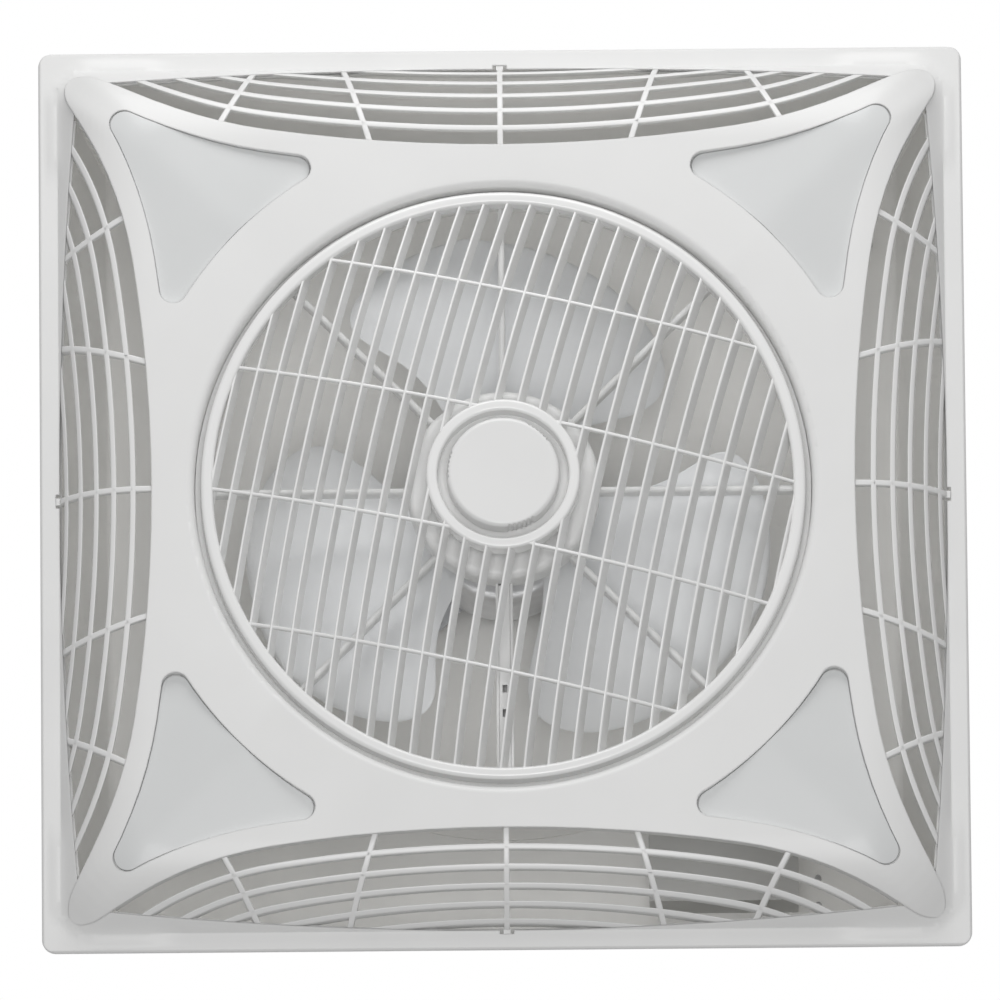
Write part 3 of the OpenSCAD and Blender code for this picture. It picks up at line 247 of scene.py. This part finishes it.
def make_materials():
    return {
        "panel": plastic("panel_plastic", WHITE, 0.42, edge=0.0015, coat=0.06),
        "grille": plastic("grille_plastic", shade(WHITE, 0.99), 0.36, coat=0.1),
        "insert": plastic("insert_plastic", SILVER, 0.36, edge=0.0008, coat=0.1),
        "duct": plastic("duct_plastic", GREY, 0.5),
        "spider": plastic("spider_plastic", shade(WHITE, 0.98), 0.4, edge=0.0008),
        # Louvre: the panel's white made 6% lighter; the extra lightness is painted highlight on the
        # slats' front edges
        "louvre": plastic("louvre_plastic", shade(WHITE, 1.06), 0.24, coat=0.3),
        "cap": plastic("cap_plastic", WHITE, 0.36, edge=0.0008, coat=0.1),
        "blades": plastic("blade_plastic", (0.82, 0.83, 0.84), 0.38),
        "nut": plastic("nut_plastic", (0.04, 0.04, 0.045), 0.5),
        "box_plastic": plastic("box_plastic", (0.56, 0.56, 0.55), 0.5),
        "board": plastic("board_resin", (0.01, 0.09, 0.04), 0.35, mottle=0.1),
        "terminal": plastic("terminal_plastic", (0.58, 0.54, 0.42), 0.5),
        "capacitor": plastic("capacitor_plastic", (0.62, 0.62, 0.61), 0.4),
        "gland": plastic("gland_plastic", (0.03, 0.03, 0.035), 0.45, edge=0.0006),
        "rubber_bush": plastic("bush_rubber", (0.02, 0.02, 0.02), 0.75),
        "motor_case": metal("motor_sheet", (0.82, 0.82, 0.83), 0.5),
        "steel": metal("bright_steel", (0.66, 0.66, 0.67), 0.25),
        "core": metal("core_sheet", (0.22, 0.22, 0.24), 0.5, streak=(60.0, 60.0, 2600.0)),
        "copper": metal("copper_wire", (0.72, 0.36, 0.18), 0.3, streak=(900.0, 900.0, 60.0)),
        "plate": metal("zinc_plate", (0.60, 0.61, 0.63), 0.4),
        "housing": plastic("housing_plastic", GREY, 0.5),
    }


def dress_nodes(materials):
    for part in frame["record"]["subparts"]:
        node = frame["nodes"][part["node"]]
        node.data.materials.clear()
        node.data.materials.append(materials[part["material_slot"]])
        for polygon in node.data.polygons:
            polygon.use_smooth = True
        smooth = node.modifiers.new("edges", "EDGE_SPLIT")
        smooth.split_angle = math.radians(28)


def rim_edge_y(x, inset=0.0002):
    """Bowed inner edge of the rim on the +Y side."""
    return math.sqrt(BOW_R ** 2 - x * x) - BOW_R + RIM_HALF - inset


def bridge_curve_y(x, off):
    """Edge of the bridge on the +Y side, moved outwards by off."""
    x = abs(x)
    r1, r2 = BRIDGE_R1 - off, BRIDGE_R2 - off
    if x < r1 * math.sin(TURN_1):
        return CENTRE_1[1] - math.sqrt(r1 * r1 - x * x)
    end = CENTRE_2[0] + r2 * math.sin(BRIDGE_SLOPE)
    if x < end:
        return CENTRE_2[1] - math.sqrt(r2 * r2 - (x - CENTRE_2[0]) ** 2)
    return CENTRE_2[1] - r2 * math.cos(BRIDGE_SLOPE) + (x - end) * math.tan(BRIDGE_SLOPE)


def vault_level(y, inset):
    """Height of the panel's rounded side at distance y from the axis."""
    radius = EDGE_R - inset
    across = min(max(0.0, y - PLATEAU_HALF), radius)
    return min(CURVE_LEVEL - math.sqrt(radius * radius - across * across), GRILLE_BASE)


def rounded_bar(half_w, near, far, radius, steps=4):
    """Closed section in offset and depth: a bar whose two front corners are round."""
    quarter = [math.pi / 2 * step / steps for step in range(steps + 1)]
    left = [(-half_w + radius * (1 - math.cos(turn)), near + radius * (1 - math.sin(turn)))
            for turn in quarter]
    return [(-half_w, far)] + left + [(-q, depth) for q, depth in left[::-1]] + [(half_w, far)]


def swept(bm, stations, section, place):
    """Close a tube of sections: place(station, offset, depth) gives each point."""
    rings = [[bm.verts.new(place(at, offset, depth)) for offset, depth in section]
             for at in stations]
    count = len(section)
    for near, far in zip(rings, rings[1:]):
        for i in range(count):
            j = (i + 1) % count
            bm.faces.new((near[i], near[j], far[j], far[i]))
    bm.faces.new(rings[0][::-1])
    bm.faces.new(rings[-1])


def crossing(curve, low, high):
    """Where curve goes from below to above zero between low and high."""
    if curve(high) < 0:
        return high
    for _ in range(40):
        middle = (low + high) / 2
        low, high = (middle, high) if curve(middle) < 0 else (low, middle)
    return low


def make_piece(name, bm, body, node, material, turn=0.0, split=35.0):
    """Put a finished mesh in the scene in place of a CAD node."""
    bmesh.ops.remove_doubles(bm, verts=bm.verts, dist=1e-7)
    bmesh.ops.recalc_face_normals(bm, faces=bm.faces)
    if turn:
        bmesh.ops.rotate(bm, verts=bm.verts, cent=(0, 0, 0), matrix=Matrix.Rotation(turn, 3, "Z"))
    mesh = bpy.data.meshes.new(name)
    bm.to_mesh(mesh)
    bm.free()
    for polygon in mesh.polygons:
        polygon.use_smooth = True
    mesh.materials.append(material)
    piece = bpy.data.objects.new(name, mesh)
    bpy.context.scene.collection.objects.link(piece)
    edges = piece.modifiers.new("edges", "EDGE_SPLIT")
    edges.split_angle = math.radians(split)
    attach(piece, body)
    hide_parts(node)
    return piece


def arched_rod(bm, off, width):
    """Rod that follows the bridge, off metres outside its edge, from rim to rim."""
    ends = {}

    def place(at, offset, depth):
        lane = off + offset
        if lane not in ends:
            ends[lane] = crossing(lambda x: bridge_curve_y(x, lane) - rim_edge_y(x),
                                  0.0, GRILLE_REACH)
        x = (2 * at - 1) * ends[lane]
        y = bridge_curve_y(x, lane)
        return x, y, vault_level(y, depth)

    swept(bm, [i / 80 for i in range(81)],
          rounded_bar(width / 2, GRILLE_STEP, GRILLE_STEP + ROD_T, ROD_ROUND), place)


def cross_rod(bm, x_in, x_out):
    """Straight rod from under the bridge at x_in towards the rim at x_out."""
    start = Vector((x_in, bridge_curve_y(x_in, 0.0)))
    along = (Vector((x_out, RIM_HALF)) - start).normalized()
    across = Vector((-along.y, along.x))
    start = start - along * 7.0 * MM

    def place(at, offset, depth):
        lane = start + across * offset
        end = crossing(lambda s: lane.y + along.y * s - rim_edge_y(lane.x + along.x * s), 0.0, 0.12)
        point = lane + along * (at * end)
        return point.x, point.y, vault_level(point.y, depth)

    swept(bm, [i / 30 for i in range(31)],
          rounded_bar(CROSS_W / 2, GRILLE_STEP, GRILLE_STEP + ROD_T, ROD_ROUND), place)


def rim_flange(bm):
    """Strip of the grille that lies behind the rim."""
    near, far = GRILLE_STEP + 2.7 * MM, GRILLE_STEP + ROD_T
    drop = CURVE_LEVEL - GRILLE_BASE + 0.5 * MM
    outer = PLATEAU_HALF + math.sqrt((EDGE_R - near) ** 2 - drop ** 2)
    share = [0.0, 0.25, 0.5, 0.75, 1.0]

    def place(at, offset, depth):
        x = (2 * at - 1) * GRILLE_REACH
        inner = rim_edge_y(x, 1.5 * MM)
        y = inner + (outer - inner) * offset
        return x, y, vault_level(y, depth)

    swept(bm, [i / 40 for i in range(41)],
          [(f, near) for f in share] + [(f, far) for f in share[::-1]], place)


def make_grilles(materials):
    for turn, side in enumerate(("north", "west", "south", "east")):
        bm = bmesh.new()
        last = len(ROD_OFFSETS) - 1
        for i, off in enumerate(ROD_OFFSETS):
            arched_rod(bm, off, ROD_W_IN + (ROD_W_OUT - ROD_W_IN) * i / last)
        arched_rod(bm, -BRIDGE_STRIP_W / 2, BRIDGE_STRIP_W)
        for x_in, x_out in CROSS_PLACES:
            for sign in ((1,) if x_in == 0 else (1, -1)):
                cross_rod(bm, sign * x_in, sign * x_out)
        rim_flange(bm)
        catch = bmesh.ops.create_cube(bm, size=1.0)
        for vert in catch["verts"]:
            vert.co = [middle + at * size
                       for middle, at, size in zip(CATCH_MID, vert.co, CATCH_SIZE)]
        soften(bm, (rim_skin,))
        make_piece(f"grille_rods_{side}", bm, "root", f"intake_grille_{side}",
                   materials["grille"], turn * math.pi / 2)


def round_level(distance, start, radius, inset):
    """Height of a form that is flat up to start and rounded beyond it."""
    across = np.clip(distance - start, 0.0, radius - inset)
    return radius - PLATEAU - np.sqrt((radius - inset) ** 2 - across ** 2)


def panel_skin(x, y, inset, nose):
    sides = np.maximum(round_level(np.abs(x), PLATEAU_HALF, EDGE_R, inset),
                       round_level(np.abs(y), PLATEAU_HALF, EDGE_R, inset))
    return np.minimum(np.maximum(sides, round_level(np.hypot(x, y), *nose, inset)), 0.0)


def arm_skin(x, y):
    return panel_skin(x, y, 0.0, ARM_NOSE)


def rim_skin(x, y):
    return panel_skin(x, y, GRILLE_STEP, RIM_NOSE)


def insert_skin(x, y):
    off = np.abs(np.abs(x) - np.abs(y)) / math.sqrt(2)
    ridge_r = ROOF_RIDGE / math.sin(ROOF_SLOPE)
    near = np.minimum(off, ROOF_RIDGE)
    ridge = ridge_r - np.sqrt(ridge_r ** 2 - near ** 2)
    roof = ridge + (off - near) * math.tan(ROOF_SLOPE) - PLATEAU
    return np.maximum(arm_skin(x, y), roof)


def softening(x, y, skin):
    """How far a skin moves when its creases are averaged over a disc round each point."""
    total = skin(x, y)
    count = 1
    for ring in SOFT_RINGS:
        for i in range(SOFT_SPOKES):
            turn = 2 * math.pi * (i + ring) / SOFT_SPOKES
            total = total + skin(x + SOFT_R * ring * math.cos(turn),
                                 y + SOFT_R * ring * math.sin(turn))
            count += 1
    return total / count - skin(x, y)


def soften(bm, skins, everywhere=False):
    """Round the lobes' creases: each point moves up or down with the skin nearest to it."""
    at = np.array([vert.co for vert in bm.verts])
    x, y, z = at[:, 0], at[:, 1], at[:, 2]
    inner = np.minimum(np.abs(x), np.abs(y))
    weight = np.clip((inner - SOFT_FROM) / (SOFT_FULL - SOFT_FROM), 0.0, 1.0)
    weight = np.ones(len(x)) if everywhere else weight * weight * (3 - 2 * weight)
    off = np.array([np.abs(z - skin(x, y)) for skin in skins])
    shift = np.array([softening(x, y, skin) for skin in skins])
    move = shift[np.argmin(off, axis=0), np.arange(len(x))] * weight
    for vert, step in zip(bm.verts, move):
        vert.co.z += float(step)


def finely_cut(bm, low, high, pitch):
    """Cut the faces between low and high, in X and in Y, into squares of pitch."""
    faces = [face for face in bm.faces
             if all(min(v.co[k] for v in face.verts) < high[k]
                    and max(v.co[k] for v in face.verts) > low[k] for k in (0, 1))]
    geometry = (list({vert for face in faces for vert in face.verts})
                + list({edge for face in faces for edge in face.edges}) + faces)
    for axis in (0, 1):
        for step in range(int((high[axis] - low[axis]) / pitch) + 1):
            centre, normal = [0.0, 0.0, 0.0], [0.0, 0.0, 0.0]
            centre[axis], normal[axis] = low[axis] + step * pitch, 1.0
            cut = bmesh.ops.bisect_plane(bm, geom=geometry, dist=1e-7,
                                         plane_co=centre, plane_no=normal)
            geometry = cut["geom"]


def node_mesh(node):
    bm = bmesh.new()
    bm.from_mesh(frame["nodes"][node].data)
    bmesh.ops.remove_doubles(bm, verts=bm.verts, dist=1e-6)
    return bm


def make_panel(materials):
    """The panel and inserts with their creases rounded at the four corner lobes."""
    bm = node_mesh("front_panel")
    for sx in (1, -1):
        for sy in (1, -1):
            low = [min(s * SOFT_FROM, s * PANEL_HALF) for s in (sx, sy)]
            high = [max(s * SOFT_FROM, s * PANEL_HALF) for s in (sx, sy)]
            finely_cut(bm, low, high, SOFT_PITCH)
    soften(bm, (arm_skin, rim_skin))
    make_piece("panel_shell", bm, "root", "front_panel", materials["panel"], split=30.0)
    for corner in ("ne", "nw", "sw", "se"):
        node = f"corner_insert_{corner}"
        low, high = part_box(node)
        bm = node_mesh(node)
        finely_cut(bm, low, high, SOFT_PITCH)
        soften(bm, (insert_skin,), True)
        make_piece(f"insert_cover_{corner}", bm, "root", node, materials["insert"],
                   split=30.0)


def dome_level(x, y, inset):
    return DOME_CENTRE - math.sqrt((DOME_R - inset) ** 2 - x * x - y * y)


def slat_point(x0, y, offset, inset):
    """Point of a tilted slat at y along it, offset across it and inset behind the dome."""
    across = Vector((math.cos(SLAT_TILT), 0.0, -math.sin(SLAT_TILT)))
    deep = Vector((math.sin(SLAT_TILT), 0.0, math.cos(SLAT_TILT)))
    base = Vector((x0, y, -PLATEAU)) + across * offset
    to_centre = Vector((0.0, 0.0, DOME_CENTRE)) - base
    middle = to_centre.dot(deep)
    reach = (DOME_R - inset) ** 2 - (to_centre.length_squared - middle ** 2)
    return base + deep * (middle - math.sqrt(reach))


def slat(bm, x0, sign):
    """One slat: the whole chord, or one side of the hub when sign is given."""
    def place(at, offset, depth):
        def reach(radius):
            return crossing(lambda y: slat_point(x0, y, offset, depth).xy.length - radius,
                            0.0, 0.25)

        far = reach(RING_IN + JOINT)
        near = sign * reach(HUB_R - JOINT) if sign else -far
        far = far * (sign or 1)
        return slat_point(x0, near + (far - near) * at, offset, depth)

    swept(bm, [i / 24 for i in range(25)],
          rounded_bar(SLAT_T / 2, SLAT_RECESS, SLAT_RECESS + SLAT_DEPTH, 0.7 * MM, 3), place)


def rib(bm, y0, sign):
    def place(at, offset, depth):
        y = y0 + offset
        far = math.sqrt((RING_IN + JOINT) ** 2 - y * y)
        near = sign * math.sqrt(max(0.0, (HUB_R - JOINT) ** 2 - y * y)) if sign else -far
        far = far * (sign or 1)
        x = near + (far - near) * at
        return x, y, dome_level(x, y, depth)

    section = rounded_bar(RIB_T / 2, SLAT_RECESS + 0.3 * MM, SLAT_RECESS + RIB_DEPTH, 0.8 * MM, 3)
    swept(bm, [i / 24 for i in range(25)], section, place)


def lathe(bm, profile, steps=180):
    """Turn a closed profile of radius and height about the fan axis."""
    rings = [[bm.verts.new((r * math.cos(2 * math.pi * i / steps),
                            r * math.sin(2 * math.pi * i / steps), z)) for r, z in profile]
             for i in range(steps)]
    count = len(profile)
    for i in range(steps):
        near, far = rings[i], rings[(i + 1) % steps]
        for j in range(count):
            k = (j + 1) % count
            bm.faces.new((near[j], near[k], far[k], far[j]))


def rounding(centre, radius, start, end, steps=8):
    """Arc of a profile from the angle start to end, in degrees."""
    return [(centre[0] + radius * math.cos(math.radians(start + (end - start) * i / steps)),
             centre[1] + radius * math.sin(math.radians(start + (end - start) * i / steps)))
            for i in range(steps + 1)]


def make_louvre(materials):
    material = materials["louvre"]
    slats, ribs, ring, hub = bmesh.new(), bmesh.new(), bmesh.new(), bmesh.new()
    count = int(RING_IN / SLAT_PITCH - 0.5)
    for k in range(-count - 1, count + 1):
        x0 = (k + 0.5) * SLAT_PITCH
        for sign in ((0,) if abs(x0) > HUB_R else (1, -1)):
            slat(slats, x0, sign)
    for off in RIB_OFFSETS:
        for y0 in (off, -off):
            for sign in ((0,) if off > HUB_R else (1, -1)):
                rib(ribs, y0, sign)
    edge, front = 2.8 * MM, -PLATEAU
    lathe(ring, rounding((RING_IN + edge, front + edge), edge, 180, 270)
          + rounding((RING_R - edge, front + edge), edge, 270, 360)
          + [(RING_R, -RING_BACK), (RING_R - 2 * MM, -RING_BACK), (RING_R - 2 * MM, front + 4 * MM),
             (RING_IN + 2 * MM, front + 4 * MM), (RING_IN + 2 * MM, -RING_BACK),
             (RING_IN, -RING_BACK)])
    edge, front, back = 2.2 * MM, -HUB_FRONT, -HUB_FLOOR + 2.5 * MM
    shaft, stem, stem_top = 3.55 * MM, 8.05 * MM, -39.5 * MM
    lathe(hub, rounding((HUB_RECESS + edge, front + edge), edge, 180, 270)
          + rounding((HUB_R - edge, front + edge), edge, 270, 360)
          + [(HUB_R, back), (HUB_R - 2.2 * MM, back), (HUB_R - 2.2 * MM, front + 3 * MM),
             (HUB_RECESS + 2.2 * MM, front + 3 * MM), (HUB_RECESS + 2.2 * MM, back), (stem, back),
             (stem, stem_top), (shaft, stem_top), (shaft, -HUB_FLOOR), (HUB_RECESS, -HUB_FLOOR)])
    for name, bm, turn in (("louvre_slats", slats, SLAT_TURN), ("louvre_ribs", ribs, SLAT_TURN),
                           ("louvre_ring", ring, 0.0), ("louvre_hub", hub, 0.0)):
        make_piece(name, bm, "louvre", "louvre_rotor", material, turn)


def blade_point(s, t, lift):
    """Point of a leaf blade: s from root to tip, t across it, as in the solid."""
    radius = BOSS_R - 3.0 * MM + (BLADE_R - BOSS_R + 3.0 * MM) * s
    half = BLADE_HALF * (0.62 + 0.68 * s) * max(0.0, 1.0 - s ** 6) ** 0.8
    angle = math.radians(BLADE_SWEEP[0] + BLADE_SWEEP[1] * math.sin(math.pi * s) + half * t)
    pitch = math.radians(BLADE_PITCH[0] + (BLADE_PITCH[1] - BLADE_PITCH[0]) * s)
    level = BLADE_MID + radius * math.radians(half) * t * math.tan(pitch)
    camber = BLADE_CAMBER * (1.0 - t * t) * min(1.0, 3.0 * s)
    return radius * math.cos(angle), radius * math.sin(angle), level - camber + lift


def blade(bm, turn, rows=56, cuts=36):
    """Closed leaf whose thickness runs out to a round edge at the tip and both sides."""
    def sheet(side):
        grid = []
        for i in range(rows + 1):
            s = 1.0 - (1.0 - i / rows) ** 2
            row = []
            for j in range(cuts + 1):
                t = math.sin(math.pi * (j / cuts - 0.5))
                full = math.sqrt(max(0.0, 1.0 - t ** 10)) * math.sqrt(max(0.0, 1.0 - s ** 30))
                x, y, z = blade_point(s, t, BLADE_T * (0.5 + 0.5 * side * full))
                row.append(bm.verts.new((x * math.cos(turn) - y * math.sin(turn),
                                         x * math.sin(turn) + y * math.cos(turn), z)))
            grid.append(row)
        return grid

    low, high = sheet(-1), sheet(1)
    for grid in (low, high):
        for i in range(rows):
            for j in range(cuts):
                bm.faces.new((grid[i][j], grid[i + 1][j], grid[i + 1][j + 1], grid[i][j + 1]))
    for j in range(cuts):
        bm.faces.new((low[0][j], low[0][j + 1], high[0][j + 1], high[0][j]))


def make_impeller(materials):
    """Smooth leaf blades, and the hub that carries them."""
    blades = bmesh.new()
    for i in range(BLADE_COUNT):
        blade(blades, BLADE_TURN + 2 * math.pi * i / BLADE_COUNT)
    bmesh.ops.remove_doubles(blades, verts=blades.verts, dist=0.00002)
    bmesh.ops.dissolve_degenerate(blades, edges=blades.edges, dist=0.00001)
    make_piece("impeller_blades", blades, "impeller", "impeller", materials["blades"],
               split=50.0)
    hub = bmesh.new()
    edge, wall, bore = 4.0 * MM, 2.5 * MM, SHAFT_R + RUN_GAP
    lathe(hub, rounding((BOSS_R - edge, HUB_LOW + edge), edge, 270, 360)
          + [(BOSS_R, HUB_HIGH), (BOSS_R - wall, HUB_HIGH),
             (BOSS_R - wall, HUB_LOW + wall + 1.0 * MM),
             (bore + 5.0 * MM, HUB_LOW + wall + 1.0 * MM), (bore + 5.0 * MM, HUB_HIGH - 4.0 * MM),
             (bore, HUB_HIGH - 4.0 * MM), (bore, HUB_LOW)])
    make_piece("impeller_hub", hub, "impeller", "impeller", materials["blades"])


def place_camera():
    """Camera of the photograph, shifted so that the fan axis meets the rim at ORIGIN_PIXEL."""
    data = bpy.data.cameras.new("camera")
    camera = bpy.data.objects.new("camera", data)
    bpy.context.scene.collection.objects.link(camera)
    bpy.context.scene.camera = camera
    data.sensor_width = SENSOR
    data.lens = SENSOR * CAMERA_DISTANCE / FRAME_WIDTH
    data.clip_end = 200.0
    back = Vector((0.0, math.sin(CAMERA_TILT), -math.cos(CAMERA_TILT)))
    right = Vector((1.0, 0.0, 0.0))
    up = back.cross(right)
    turn = Matrix.Rotation(-CAMERA_ROLL, 3, back)
    right, up = turn @ right, turn @ up
    pixel = FRAME_WIDTH / FRAME_PIXELS
    off_right = (ORIGIN_PIXEL[0] - FRAME_PIXELS / 2) * pixel
    off_up = (FRAME_PIXELS / 2 - ORIGIN_PIXEL[1]) * pixel
    place = back * CAMERA_DISTANCE - right * off_right - up * off_up
    rotation = Matrix((right, up, back)).transposed()
    camera.matrix_world = Matrix.Translation(place) @ rotation.to_4x4()


def area_light(name, place, size, power):
    data = bpy.data.lights.new(name, "AREA")
    data.shape = "SQUARE"
    data.size = size
    data.energy = power
    light = bpy.data.objects.new(name, data)
    light.location = place
    light.rotation_euler = (Vector() - Vector(place)).to_track_quat("-Z", "Y").to_euler()
    bpy.context.scene.collection.objects.link(light)


def light_scene():
    """Soft lamps and sky, and a white backdrop that only the camera and reflections see."""
    world = bpy.data.worlds.new("world")
    bpy.context.scene.world = world
    world.use_nodes = True
    nodes, links = world.node_tree.nodes, world.node_tree.links
    sky = nodes["Background"]
    sky.inputs["Color"].default_value = (1.0, 1.0, 1.0, 1.0)
    sky.inputs["Strength"].default_value = SKY_STRENGTH
    backdrop = nodes.new("ShaderNodeBackground")
    backdrop.inputs["Color"].default_value = (1.0, 1.0, 1.0, 1.0)
    backdrop.inputs["Strength"].default_value = 1.0
    path = nodes.new("ShaderNodeLightPath")
    seen = path.outputs["Is Camera Ray"]
    for ray in ("Is Glossy Ray", "Is Transmission Ray"):
        either = nodes.new("ShaderNodeMath")
        either.operation = "MAXIMUM"
        links.new(seen, either.inputs[0])
        links.new(path.outputs[ray], either.inputs[1])
        seen = either.outputs["Value"]
    mix = nodes.new("ShaderNodeMixShader")
    links.new(seen, mix.inputs["Fac"])
    links.new(sky.outputs["Background"], mix.inputs[1])
    links.new(backdrop.outputs["Background"], mix.inputs[2])
    links.new(mix.outputs["Shader"], nodes["World Output"].inputs["Surface"])
    for lamp in LAMPS:
        area_light(*lamp)


def lay_floor():
    """A pale floor under the cap, seen from above only, that the light passes from below."""
    low = cad_box[0].z
    bpy.ops.mesh.primitive_plane_add(size=FLOOR_SIZE, location=(0.0, 0.0, low - FLOOR_GAP))
    floor = bpy.context.object
    floor.name = "floor"
    for ray in ("visible_diffuse", "visible_glossy", "visible_transmission", "visible_shadow"):
        setattr(floor, ray, False)
    material, nodes, links = new_material("floor_paint")
    surface = nodes["Principled BSDF"]
    surface.inputs["Base Color"].default_value = (*FLOOR_COLOUR, 1.0)
    surface.inputs["Roughness"].default_value = 0.9
    clear = nodes.new("ShaderNodeBsdfTransparent")
    side = nodes.new("ShaderNodeNewGeometry")
    mix = nodes.new("ShaderNodeMixShader")
    links.new(side.outputs["Backfacing"], mix.inputs["Fac"])
    links.new(surface.outputs["BSDF"], mix.inputs[1])
    links.new(clear.outputs["BSDF"], mix.inputs[2])
    links.new(mix.outputs["Shader"], nodes["Material Output"].inputs["Surface"])
    floor.data.materials.append(material)


place_camera()
light_scene()
lay_floor()
materials = make_materials()
dress_nodes(materials)
make_panel(materials)
make_grilles(materials)
make_louvre(materials)
make_impeller(materials)
bpy.context.scene.view_settings.view_transform = "Standard"
bpy.context.scene.cycles.diffuse_bounces = DIFFUSE_BOUNCES
